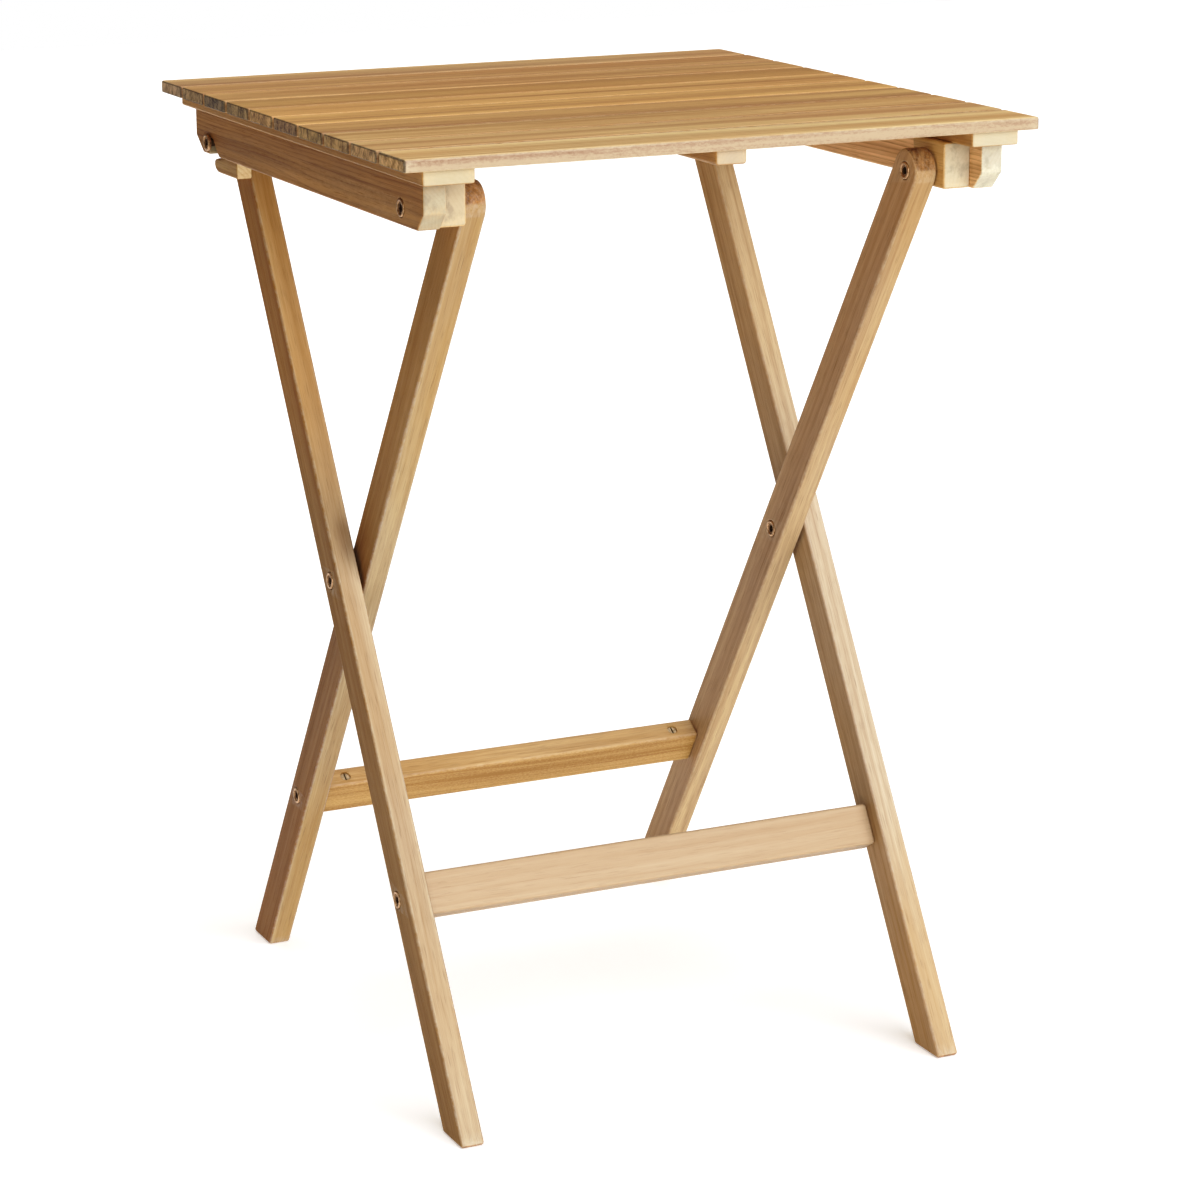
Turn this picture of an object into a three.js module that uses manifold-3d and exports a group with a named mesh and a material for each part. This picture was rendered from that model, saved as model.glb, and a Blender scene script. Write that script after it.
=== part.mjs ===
// Folding picnic table: a slatted square top on two crossing leg frames.
// Millimetres, +Z up, +X along the slats, +Y from the front edge to the back edge.
// The origin is at the middle of the whole table's footprint, on the ground.
//
// The inner leg frame (two legs and the back stretcher) carries the top on two
// front pivot bolts. The outer leg frame (two legs and the front stretcher)
// turns on the inner one about two crossing bolts. Two rear bolts in the tops
// of the outer legs sit in hook notches in the top's side rails, and two rest
// blocks on the outer legs carry the rails.

import * as THREE from 'three';
import { mergeVertices } from 'three/addons/utils/BufferGeometryUtils.js';
import Module from 'manifold-3d';

const wasm = await Module();
wasm.setup();

// ---------------------------------------------------------------- dimensions
const HEIGHT = 720;            // ground to the upper face of the slats
const TOP_W = 492;             // slat length, along X
const TOP_D = 505;             // top depth, along Y
const SLAT_N = 10;
const SLAT_W = 47;
const SLAT_T = 9;
const SLAT_EASE = 2;           // rounded long edges of a slat
const SLAT_GAP = (TOP_D - SLAT_N * SLAT_W) / (SLAT_N - 1);

const BATTEN_T = 10.5;         // boards under the slats, along Y
const BATTEN_LEN = 497;
const SIDE_BATTEN_IN = 192.3;  // inner and outer faces of a side batten, |X|
const SIDE_BATTEN_OUT = 230.6;
const MID_BATTEN_W = 24;

const RAIL_IN = 208.2;         // side rails, |X|
const RAIL_OUT = 225.2;
const RAIL_FRONT = -235.6;     // side rail ends, Y before the footprint shift
const RAIL_BACK = 231.3;
const RAIL_BOTTOM = 667;
const RAIL_NOSE_FRONT = [12, 12.5];   // lower corner cut at the front: along Y, along Z
const RAIL_NOSE_BACK = [16, 12];

const SPACER_IN = 186.8;       // spacer blocks between rail and inner leg, |X|
const SPACER_FRONT = -219;
const SPACER_BACK = -173;

const LEG_W = 32;              // leg section across its length
const LEG_T = 18;              // leg section along X
const INNER_LEG_IN = 168;      // inner leg faces, |X|
const OUTER_LEG_IN = 188.8;    // outer leg faces, |X|
const EASE = 1.6;              // eased edges on legs and rails

const PIVOT = [-194.5, 679];   // front pivot bolts, (Y, Z)
const CROSS = [8.2, 367.6];    // crossing bolts
const REAR = [200.5, 676.5];   // rear bolts
const OUTER_FOOT_Y = -215.5;   // outer leg centreline at the ground
const OUTER_HEAD_Y = 192.5;    // and at the height of the rear bolts

const STRETCHER_W = 32.4;      // along the legs
const STRETCHER_T = 18;        // across the legs
const BACK_STRETCHER = [151.9, 152.8];  // section centres, (Y, Z)
const FRONT_STRETCHER = [-115.7, 153];

const HEAD_R = 6.5;            // furniture bolt head and cap nut flange
const HEAD_T = 2.8;
const HEAD_PROUD = 0.7;
const SHANK_R = 3;
const SLEEVE_R = 4.2;
const BARREL_R = 4;            // cross dowels in the stretchers
const BARREL_LEN = 21;          // from below the bolt up to just under the stretcher's edge
const BARREL_DOWN = 6;
const BARREL_INSET = 21;
const HOLE_CLEAR = 0.3;
const SIDES = 16;              // facets round a bolt

const FOOT_SHIFT = -6.32;       // brings the footprint's middle to Y = 0

// ------------------------------------------------------------------ materials
const wood = (color) => new THREE.MeshStandardMaterial({ color, roughness: 0.62, metalness: 0 });
const WOOD_TOP = wood(0xbf8f55);
const WOOD_BATTEN = wood(0xd9bb86);
const WOOD_RAIL = wood(0xa87c4d);
const WOOD_LEG = wood(0xc09258);
const WOOD_PALE = wood(0xdcbd8c);
const BRONZE = new THREE.MeshStandardMaterial({ color: 0x9a6a48, roughness: 0.38, metalness: 1 });
const STEEL = new THREE.MeshStandardMaterial({ color: 0xa9a59c, roughness: 0.45, metalness: 1 });

// --------------------------------------------------------- solids and booleans
function toManifold(geometry) {
  const g = geometry.index ? geometry.toNonIndexed() : geometry.clone();
  for (const name of Object.keys(g.attributes)) if (name !== 'position') g.deleteAttribute(name);
  const m = mergeVertices(g, 1e-4);
  return new wasm.Manifold(new wasm.Mesh({
    numProp: 3,
    vertProperties: Float32Array.from(m.attributes.position.array),
    triVerts: Uint32Array.from(m.index.array),
  }));
}

function fromManifold(solid) {
  const mesh = solid.getMesh();
  const n = mesh.numProp;
  const count = mesh.vertProperties.length / n;
  const pos = new Float32Array(count * 3);
  for (let i = 0; i < count; i++) for (let k = 0; k < 3; k++) pos[i * 3 + k] = mesh.vertProperties[i * n + k];
  const g = new THREE.BufferGeometry();
  g.setAttribute('position', new THREE.BufferAttribute(pos, 3));
  g.setIndex(new THREE.BufferAttribute(Uint32Array.from(mesh.triVerts), 1));
  g.computeVertexNormals();
  return g;
}

function cut(geometry, ...tools) {
  let solid = toManifold(geometry);
  for (const t of tools) solid = solid.subtract(toManifold(t));
  return fromManifold(solid);
}

// A (Y, Z) outline extruded along X from x0 to x1, with eased rims.
function prismX(outline, x0, x1, ease = EASE) {
  const shape = new THREE.Shape(outline.map(([y, z]) => new THREE.Vector2(y, z)));
  const g = new THREE.ExtrudeGeometry(shape, ease > 0 ? {
    depth: x1 - x0 - 2 * ease, bevelEnabled: true, bevelThickness: ease,
    bevelSize: ease, bevelOffset: -ease, bevelSegments: 1, curveSegments: 6,
  } : { depth: x1 - x0, bevelEnabled: false, curveSegments: 6 });
  g.translate(0, 0, ease > 0 ? x0 + ease : x0);
  // shape x -> Y, shape y -> Z, extrusion z -> X
  g.applyMatrix4(new THREE.Matrix4().set(0, 0, 1, 0, 1, 0, 0, 0, 0, 1, 0, 0, 0, 0, 0, 1));
  return g;
}

// A (X, Z) outline extruded along Y from y0 to y1, with eased rims.
function prismY(outline, y0, y1, ease) {
  const shape = new THREE.Shape(outline.map(([x, z]) => new THREE.Vector2(z, x)));
  const g = new THREE.ExtrudeGeometry(shape, {
    depth: y1 - y0 - 2 * ease, bevelEnabled: true, bevelThickness: ease,
    bevelSize: ease, bevelOffset: -ease, bevelSegments: 1, curveSegments: 6,
  });
  g.translate(0, 0, y0 + ease);
  // shape x -> Z, shape y -> X, extrusion z -> Y
  g.applyMatrix4(new THREE.Matrix4().set(0, 1, 0, 0, 0, 0, 1, 0, 1, 0, 0, 0, 0, 0, 0, 1));
  return g;
}

// A cylinder along X between x0 and x1 at (y, z).
function rodX(r, x0, x1, [y, z], sides = SIDES) {
  const g = new THREE.CylinderGeometry(r, r, x1 - x0, sides);
  g.rotateZ(Math.PI / 2);
  g.translate((x0 + x1) / 2, y, z);
  return g;
}

// A cylinder along Z between z0 and z1 at (x, y).
function rodZ(r, z0, z1, [x, y], sides = SIDES) {
  const g = new THREE.CylinderGeometry(r, r, z1 - z0, sides);
  g.rotateX(Math.PI / 2);
  g.translate(x, y, (z0 + z1) / 2);
  return g;
}

function hexX(acrossFlats, x0, x1, [y, z]) {
  return rodX(acrossFlats / Math.sqrt(3), x0, x1, [y, z], 6);
}

// A solid of revolution from [axial, radius] pairs, its axis along +X.
function turnedX(profile, [x, y, z], dir = 1, sides = SIDES) {
  const g = new THREE.LatheGeometry(profile.map(([a, r]) => new THREE.Vector2(r, a)), sides);
  g.rotateZ(dir > 0 ? -Math.PI / 2 : Math.PI / 2);
  g.translate(x, y, z);
  return g;
}

function mirrorX(geometry) {
  const g = geometry.clone();
  g.applyMatrix4(new THREE.Matrix4().makeScale(-1, 1, 1));
  const flip = g.index ? g.index.array : null;
  if (flip) {
    for (let i = 0; i < flip.length; i += 3) [flip[i + 1], flip[i + 2]] = [flip[i + 2], flip[i + 1]];
    g.index.needsUpdate = true;
    g.computeVertexNormals();
    return g;
  }
  const p = g.attributes.position;
  for (let i = 0; i < p.count; i += 3) {
    for (let k = 0; k < 3; k++) {
      const a = p.array[(i + 1) * 3 + k];
      p.array[(i + 1) * 3 + k] = p.array[(i + 2) * 3 + k];
      p.array[(i + 2) * 3 + k] = a;
    }
  }
  g.computeVertexNormals();
  return g;
}

function roundedRect(y0, z0, y1, z1, rTop, rBottom, steps = 3) {
  const pts = [];
  const arc = (cy, cz, r, a0) => {
    if (r <= 0) { pts.push([cy, cz]); return; }
    for (let i = 0; i <= steps; i++) {
      const a = a0 + (Math.PI / 2) * (i / steps);
      pts.push([cy + r * Math.cos(a), cz + r * Math.sin(a)]);
    }
  };
  arc(y1 - rBottom, z0 + rBottom, rBottom, -Math.PI / 2);
  arc(y1 - rTop, z1 - rTop, rTop, 0);
  arc(y0 + rTop, z1 - rTop, rTop, Math.PI / 2);
  arc(y0 + rBottom, z0 + rBottom, rBottom, Math.PI);
  return pts;
}

// ------------------------------------------------------------ frame directions
const at = (p, u, s, n = [0, 0], o = 0) => [p[0] + u[0] * s + n[0] * o, p[1] + u[1] * s + n[1] * o];
const unit = (v) => { const l = Math.hypot(v[0], v[1]); return [v[0] / l, v[1] / l]; };
const innerUp = unit([PIVOT[0] - CROSS[0], PIVOT[1] - CROSS[1]]);   // towards the front, up
const innerRear = [innerUp[1], -innerUp[0]];                         // across, to the rear and up
const outerUp = unit([OUTER_HEAD_Y - OUTER_FOOT_Y, REAR[1]]);        // towards the back, up
const outerFront = [-outerUp[1], outerUp[0]];                        // across, to the front and up

const outerTop = [OUTER_HEAD_Y, REAR[1]];                            // centre of the outer leg's round end

// A leg outline: round end about `top`, straight sides down to the ground.
function legOutline(top, up, across, half) {
  const pts = [];
  const steps = 12;
  for (let i = 0; i <= steps; i++) {
    const a = Math.PI * (i / steps);
    pts.push(at(top, across, half * Math.cos(a), up, half * Math.sin(a)));
  }
  const ground = (o) => { const p = at(top, across, o); const t = -p[1] / up[1]; return [p[0] + up[0] * t, 0]; };
  const soft = 2.2;
  const lift = (o) => { const p = at(top, across, o); const t = (soft - p[1]) / up[1]; return [p[0] + up[0] * t, soft]; };
  const a = ground(-half), b = ground(half);
  const inward = Math.sign(b[0] - a[0]);
  // the two ground corners are slightly broken
  pts.push(lift(-half), [a[0] + inward * soft, 0], [b[0] - inward * soft, 0], lift(half));
  return pts;
}

function orient(pts) {
  let s = 0;
  for (let i = 0; i < pts.length; i++) {
    const [a, b] = pts[i], [c, d] = pts[(i + 1) % pts.length];
    s += a * d - b * c;
  }
  return s > 0 ? pts : pts.slice().reverse();
}

// ------------------------------------------------------------------- fasteners
// Furniture bolt: dished round head with a hex socket, outer face at x = face,
// shank running towards smaller |X|.
function bolt(face, length, [y, z]) {
  const dish = 0.8;
  const body = turnedX([
    [0, 0], [length, 0], [length, SHANK_R - 0.5], [length - 0.6, SHANK_R], [HEAD_T, SHANK_R],
    [HEAD_T, HEAD_R - 0.1], [0.7, HEAD_R], [0, HEAD_R - 0.7], [0, HEAD_R - 1.7], [dish, HEAD_R - 2.3], [dish, 0],
  ].slice(1).reverse(), [face, y, z], -1);
  return cut(body, hexX(5, face - dish - 1.4, face - dish + 0.4, [y, z]));
}

// Cap nut: the same dished flange on a sleeve with a blind bore, flange at
// x = face, sleeve running towards larger |X|.
function capNut(face, length, [y, z]) {
  const dish = 0.8;
  const body = turnedX([
    [length, 0], [length, SLEEVE_R], [2, SLEEVE_R], [2, HEAD_R - 0.1], [0.7, HEAD_R],
    [0, HEAD_R - 0.7], [0, HEAD_R - 1.7], [dish, HEAD_R - 2.3], [dish, 0],
  ].reverse(), [face, y, z], 1);
  return cut(body, hexX(5, face + dish - 0.4, face + dish + 1.4, [y, z]),
    rodX(SHANK_R + 0.2, face + 4, face + length + 1, [y, z]));
}

function washerX(x0, x1, rIn, rOut, [y, z]) {
  return cut(rodX(rOut, x0, x1, [y, z]), rodX(rIn, x0 - 1, x1 + 1, [y, z]));
}

// Countersunk wood screw along X, head face at x = face, pointing to dir.
function screwX(face, length, [y, z], dir) {
  const body = turnedX([
    [0, 0], [0, 3.4], [0.5, 3.4], [2.4, 1.9], [length - 4, 1.7], [length, 0],
  ], [face, y, z], dir, 12);
  const slotA = new THREE.BoxGeometry(2.2, 3.6, 0.7); slotA.translate(face, y, z);
  const slotB = new THREE.BoxGeometry(2.2, 0.7, 3.6); slotB.translate(face, y, z);
  return cut(body, slotA, slotB);
}

// Countersunk wood screw pointing down from z = face.
function screwDown(face, length, [x, y]) {
  const g = screwX(0, length, [0, 0], 1);
  g.rotateY(Math.PI / 2);
  g.translate(x, y, face);
  return g;
}

// ---------------------------------------------------------------- the assembly
const table = new THREE.Group();
table.name = 'folding_table';
table.position.y = FOOT_SHIFT;

function add(name, geometry, material) {
  const mesh = new THREE.Mesh(geometry, material);
  mesh.name = name;
  table.add(mesh);
}

// Pieces are modelled on the right (+X) side and mirrored to the left.
function pair(name, geometry, material) {
  add(`right_${name}`, geometry, material);
  add(`left_${name}`, mirrorX(geometry), material);
}

// --- top: slats, battens, rails, spacer blocks
const slatTop = HEIGHT, slatBottom = HEIGHT - SLAT_T;
const battenBottom = slatBottom - BATTEN_T;
for (let i = 0; i < SLAT_N; i++) {
  const y0 = -TOP_D / 2 + i * (SLAT_W + SLAT_GAP);
  const outline = roundedRect(y0, slatBottom, y0 + SLAT_W, slatTop, SLAT_EASE, 1, 2);
  add(`slat_${String(i + 1).padStart(2, '0')}`, prismX(orient(outline), -TOP_W / 2, TOP_W / 2, 0.9), WOOD_TOP);
}

const screwY = [2, 7].map((i) => -TOP_D / 2 + i * (SLAT_W + SLAT_GAP) + SLAT_W / 2);
const railMid = (RAIL_IN + RAIL_OUT) / 2;
const battenOutline = (x0, x1) => roundedRect(x0, battenBottom, x1, slatBottom, 0, 1.5, 2);
pair('batten', cut(prismY(orient(battenOutline(SIDE_BATTEN_IN, SIDE_BATTEN_OUT)), -BATTEN_LEN / 2, BATTEN_LEN / 2, 0.8),
  ...screwY.flatMap((y) => [rodZ(2.1, battenBottom - 1, slatBottom + 1, [railMid, y], 12),
    rodZ(3.7, slatBottom - 3, slatBottom + 1, [railMid, y], 12)])), WOOD_BATTEN);
add('middle_batten', prismY(orient(roundedRect(-MID_BATTEN_W / 2, battenBottom, MID_BATTEN_W / 2, slatBottom, 0, 2.5, 2)),
  -BATTEN_LEN / 2, BATTEN_LEN / 2, 0.8), WOOD_BATTEN);

const railOutline = [
  [RAIL_FRONT + RAIL_NOSE_FRONT[0], RAIL_BOTTOM], [RAIL_BACK - RAIL_NOSE_BACK[0], RAIL_BOTTOM],
  [RAIL_BACK, RAIL_BOTTOM + RAIL_NOSE_BACK[1]], [RAIL_BACK, battenBottom],
  [RAIL_FRONT, battenBottom], [RAIL_FRONT, RAIL_BOTTOM + RAIL_NOSE_FRONT[1]],
];
// Hook notch: a seat round the rear bolt and a mouth that opens down and forward,
// wide enough for the way the bolt leaves as the table folds.
const notchSeat = SHANK_R + 0.6;
const notchMouth = [
  [REAR[0] + 3.26, REAR[1] - 1.53], [REAR[0] - 4.5, RAIL_BOTTOM - 8], [REAR[0] - 30, RAIL_BOTTOM - 8],
  [REAR[0] - 21.8, RAIL_BOTTOM], [REAR[0] - 15.4, REAR[1] - 4.6], [REAR[0] - 12.4, REAR[1] - 1.1],
  [REAR[0] - 10.2, REAR[1] + 1.6], [REAR[0] - 7, REAR[1] + 3.2], [REAR[0], REAR[1] + notchSeat],
];
const counterbore = (x0, x1, p) => rodX(HEAD_R + HOLE_CLEAR, x0, x1, p);
const boltHole = (x0, x1, p) => rodX(SHANK_R + HOLE_CLEAR, x0, x1, p);
const headSeat = HEAD_T - HEAD_PROUD + 0.1;
pair('side_rail', cut(prismX(orient(railOutline), RAIL_IN, RAIL_OUT, 1.2),
  rodX(notchSeat, RAIL_IN - 1, RAIL_OUT + 1, REAR),
  prismX(orient(notchMouth), RAIL_IN - 1, RAIL_OUT + 1, 0),
  boltHole(RAIL_IN - 1, RAIL_OUT + 1, PIVOT),
  counterbore(RAIL_OUT - headSeat, RAIL_OUT + 1, PIVOT),
  ...screwY.map((y) => rodZ(1.95, RAIL_BOTTOM + 8, battenBottom + 1, [railMid, y], 12))), WOOD_RAIL);

pair('spacer_block', cut(prismX(orient(roundedRect(SPACER_FRONT, RAIL_BOTTOM, SPACER_BACK, battenBottom, 1.5, 1.5, 2)),
  SPACER_IN, RAIL_IN, 1.8), boltHole(SPACER_IN - 1, RAIL_IN + 1, PIVOT)), WOOD_PALE);

// --- inner leg frame
const half = LEG_W / 2;
const INNER_LEG_OUT = INNER_LEG_IN + LEG_T;
const OUTER_LEG_OUT = OUTER_LEG_IN + LEG_T;
const backBolt = BACK_STRETCHER;
const frontBolt = FRONT_STRETCHER;
const sleeveHole = (x0, x1, p) => rodX(SLEEVE_R + HOLE_CLEAR, x0, x1, p);

pair('inner_leg', cut(prismX(orient(legOutline(PIVOT, innerUp, innerRear, half)), INNER_LEG_IN, INNER_LEG_OUT),
  boltHole(INNER_LEG_IN - 1, INNER_LEG_OUT + 1, PIVOT),
  sleeveHole(INNER_LEG_IN - 1, INNER_LEG_IN + 13, PIVOT),
  counterbore(INNER_LEG_IN - 1, INNER_LEG_IN + 1.5, PIVOT),
  boltHole(INNER_LEG_IN - 1, INNER_LEG_OUT + 1, CROSS),
  sleeveHole(INNER_LEG_IN - 1, INNER_LEG_IN + 13, CROSS),
  counterbore(INNER_LEG_IN - 1, INNER_LEG_IN + 1.5, CROSS),
  boltHole(INNER_LEG_IN - 1, INNER_LEG_OUT + 1, backBolt),
  counterbore(INNER_LEG_OUT - headSeat, INNER_LEG_OUT + 1, backBolt)), WOOD_LEG);

// --- outer leg frame
const restTop = RAIL_BOTTOM - 0.3;
const restScrews = [[175, 659.5], [189, 659]];
pair('outer_leg', cut(prismX(orient(legOutline(outerTop, outerUp, outerFront, half)), OUTER_LEG_IN, OUTER_LEG_OUT),
  boltHole(OUTER_LEG_IN - 1, OUTER_LEG_OUT + 1, REAR),
  sleeveHole(OUTER_LEG_IN - 1, OUTER_LEG_IN + 13, REAR),
  counterbore(OUTER_LEG_IN - 1, OUTER_LEG_IN + 1.5, REAR),
  boltHole(OUTER_LEG_IN - 1, OUTER_LEG_OUT + 1, CROSS),
  counterbore(OUTER_LEG_OUT - headSeat, OUTER_LEG_OUT + 1, CROSS),
  boltHole(OUTER_LEG_IN - 1, OUTER_LEG_OUT + 1, frontBolt),
  counterbore(OUTER_LEG_OUT - headSeat, OUTER_LEG_OUT + 1, frontBolt),
  ...restScrews.flatMap((p) => [rodX(2.1, OUTER_LEG_IN - 1, OUTER_LEG_OUT + 1, p, 12),
    rodX(3.8, OUTER_LEG_IN - 1, OUTER_LEG_IN + 3, p, 12)])), WOOD_LEG);

const restOutline = [
  [156, 652.5], [201, 652.5], [205.5, 654], [208.2, 657], [208.6, 660], [206.5, 662.2],
  [200, 663.6], [178, restTop - 0.6], [168, restTop], [158, restTop], [156, restTop - 2],
];
pair('rest_block', cut(prismX(orient(restOutline), OUTER_LEG_OUT, OUTER_LEG_OUT + 12, 0.8),
  ...restScrews.map((p) => rodX(1.95, OUTER_LEG_OUT - 1, OUTER_LEG_OUT + 9, p, 12))), WOOD_PALE);

// --- stretchers, set between the legs of each frame and turned to their tilt
function stretcher(halfLen, centre, up, across) {
  const w = STRETCHER_W / 2, t = STRETCHER_T / 2;
  const r = 1.6;
  const corners = [];
  for (const [sx, sy] of [[1, 1], [-1, 1], [-1, -1], [1, -1]]) {
    const c = [sx * (t - r), sy * (w - r)];
    const a0 = Math.atan2(sy, sx);
    for (const da of [-Math.PI / 4, 0, Math.PI / 4]) {
      corners.push(at(centre, across, c[0] + r * Math.cos(a0 + da), up, c[1] + r * Math.sin(a0 + da)));
    }
  }
  const body = prismX(orient(corners), -halfLen, halfLen, 0);
  const drill = (x) => {
    const depth = w + BARREL_DOWN + 0.5;
    const g = new THREE.CylinderGeometry(BARREL_R + 0.2, BARREL_R + 0.2, depth + 1, SIDES);
    // cylinder axis Y -> the leg's direction in the (Y, Z) plane
    const m = new THREE.Matrix4().makeBasis(
      new THREE.Vector3(1, 0, 0), new THREE.Vector3(0, up[0], up[1]), new THREE.Vector3(0, -up[1], up[0]));
    g.applyMatrix4(m);
    const c = at(centre, up, w + 1 - (depth + 1) / 2);
    g.translate(x, c[0], c[1]);
    return g;
  };
  return cut(body, drill(halfLen - BARREL_INSET), drill(-halfLen + BARREL_INSET),
    boltHole(halfLen - BARREL_INSET - 9, halfLen + 1, centre),
    boltHole(-halfLen - 1, -halfLen + BARREL_INSET + 9, centre));
}

function barrelNut(x, centre, up) {
  const g = new THREE.CylinderGeometry(BARREL_R, BARREL_R, BARREL_LEN, SIDES);
  g.applyMatrix4(new THREE.Matrix4().makeBasis(
    new THREE.Vector3(1, 0, 0), new THREE.Vector3(0, up[0], up[1]), new THREE.Vector3(0, -up[1], up[0])));
  const c = at(centre, up, BARREL_LEN / 2 - BARREL_DOWN);
  g.translate(x, c[0], c[1]);
  return cut(g, rodX(SHANK_R + 0.2, x - BARREL_R - 1, x + BARREL_R + 1, centre));
}

add('back_stretcher', stretcher(INNER_LEG_IN, backBolt, innerUp, innerRear), WOOD_LEG);
add('front_stretcher', stretcher(OUTER_LEG_IN, frontBolt, outerUp, outerFront), WOOD_PALE);

// --- bolts, nuts, washers and screws
const pivotFace = RAIL_OUT + HEAD_PROUD;
pair('front_pivot_bolt', bolt(pivotFace, pivotFace - (INNER_LEG_IN + 5), PIVOT), BRONZE);
pair('front_pivot_nut', capNut(INNER_LEG_IN - HEAD_PROUD, 12.5, PIVOT), BRONZE);
pair('front_pivot_washer', washerX(INNER_LEG_OUT + 0.1, SPACER_IN - 0.1, SHANK_R + 0.3, 8, PIVOT), STEEL);

const crossFace = OUTER_LEG_OUT + HEAD_PROUD;
pair('crossing_bolt', bolt(crossFace, crossFace - (INNER_LEG_IN + 5), CROSS), BRONZE);
pair('crossing_nut', capNut(INNER_LEG_IN - HEAD_PROUD, 12.5, CROSS), BRONZE);
pair('crossing_washer', washerX(INNER_LEG_OUT + 0.2, OUTER_LEG_IN - 0.2, SHANK_R + 0.3, 9, CROSS), STEEL);

// the rear bolt's head stands just outside the rail, which it holds sideways
const rearFace = RAIL_OUT + 0.3 + HEAD_T;
pair('rear_bolt', bolt(rearFace, rearFace - (OUTER_LEG_IN + 5), REAR), BRONZE);
pair('rear_nut', capNut(OUTER_LEG_IN - HEAD_PROUD, 12.5, REAR), BRONZE);

pair('back_stretcher_bolt', bolt(INNER_LEG_OUT + HEAD_PROUD, LEG_T + HEAD_PROUD + BARREL_INSET + 6, backBolt), BRONZE);
pair('front_stretcher_bolt', bolt(OUTER_LEG_OUT + HEAD_PROUD, LEG_T + HEAD_PROUD + BARREL_INSET + 6, frontBolt), BRONZE);
pair('back_barrel_nut', barrelNut(INNER_LEG_IN - BARREL_INSET, backBolt, innerUp), STEEL);
pair('front_barrel_nut', barrelNut(OUTER_LEG_IN - BARREL_INSET, frontBolt, outerUp), STEEL);

pair('rest_screw_front', screwX(OUTER_LEG_IN + 0.4, 25, restScrews[0], 1), STEEL);
pair('rest_screw_rear', screwX(OUTER_LEG_IN + 0.4, 25, restScrews[1], 1), STEEL);
pair('rail_screw_front', screwDown(slatBottom - 0.3, 32, [railMid, screwY[0]]), STEEL);
pair('rail_screw_rear', screwDown(slatBottom - 0.3, 32, [railMid, screwY[1]]), STEEL);

export default table;
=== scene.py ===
import math

import bmesh
import bpy
import numpy as np
from mathutils import Matrix, Vector, noise
from mathutils.geometry import tessellate_polygon


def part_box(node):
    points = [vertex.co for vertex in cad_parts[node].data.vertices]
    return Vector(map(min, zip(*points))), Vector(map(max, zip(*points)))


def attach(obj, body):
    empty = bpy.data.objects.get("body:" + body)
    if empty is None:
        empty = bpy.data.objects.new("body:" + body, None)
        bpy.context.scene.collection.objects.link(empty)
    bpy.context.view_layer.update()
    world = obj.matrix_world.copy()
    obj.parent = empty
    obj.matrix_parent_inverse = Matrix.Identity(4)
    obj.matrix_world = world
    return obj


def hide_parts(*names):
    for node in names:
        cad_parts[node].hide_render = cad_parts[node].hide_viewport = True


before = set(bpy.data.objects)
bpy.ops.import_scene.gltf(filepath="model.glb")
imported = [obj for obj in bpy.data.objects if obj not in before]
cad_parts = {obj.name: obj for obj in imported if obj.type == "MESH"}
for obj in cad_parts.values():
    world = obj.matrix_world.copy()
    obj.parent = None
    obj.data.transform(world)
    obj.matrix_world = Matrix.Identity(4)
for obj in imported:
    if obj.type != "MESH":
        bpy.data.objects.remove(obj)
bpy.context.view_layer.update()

MM = 0.001

# ------------------------------------------------------------------ places
# Everything below is in millimetres in the row frame. The bolts' places come
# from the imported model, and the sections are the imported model's own.


def mid(node):
    a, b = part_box(node)
    return [(a[i] + b[i]) / 2 / MM for i in range(3)]


def ext(node):
    a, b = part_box(node)
    return [(a[i] / MM, b[i] / MM) for i in range(3)]


PIVOT = mid("right_front_pivot_bolt")[1:]
CROSS = mid("right_crossing_bolt")[1:]
REAR = mid("right_rear_bolt")[1:]
BACK_BOLT = mid("right_back_stretcher_bolt")[1:]
FRONT_BOLT = mid("right_front_stretcher_bolt")[1:]
LEG_W = 32.0
HALF = LEG_W / 2
INNER_IN, INNER_OUT = ext("right_inner_leg")[0]
OUTER_IN, OUTER_OUT = ext("right_outer_leg")[0]
RAIL_IN, RAIL_OUT = ext("right_side_rail")[0]
RAIL_FRONT, RAIL_BACK = ext("right_side_rail")[1]
RAIL_LOW, RAIL_TOP = ext("right_side_rail")[2]
OUTER_HEAD = [REAR[0] - 8.0, REAR[1]]
OUTER_FOOT = [REAR[0] - 416.0, 0.0]


def unit(v):
    l = math.hypot(*v)
    return [c / l for c in v]


IN_UP = unit([PIVOT[0] - CROSS[0], PIVOT[1] - CROSS[1]])
IN_REAR = [IN_UP[1], -IN_UP[0]]
OUT_UP = unit([OUTER_HEAD[0] - OUTER_FOOT[0], OUTER_HEAD[1] - OUTER_FOOT[1]])
OUT_FRONT = [-OUT_UP[1], OUT_UP[0]]


def at(p, u, s, n=(0, 0), o=0.0):
    return (p[0] + u[0] * s + n[0] * o, p[1] + u[1] * s + n[1] * o)


# --------------------------------------------------------------- mesh tools
def ccw(pts):
    s = sum(a[0] * b[1] - a[1] * b[0] for a, b in zip(pts, pts[1:] + pts[:1]))
    return list(pts) if s > 0 else list(reversed(pts))


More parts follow.
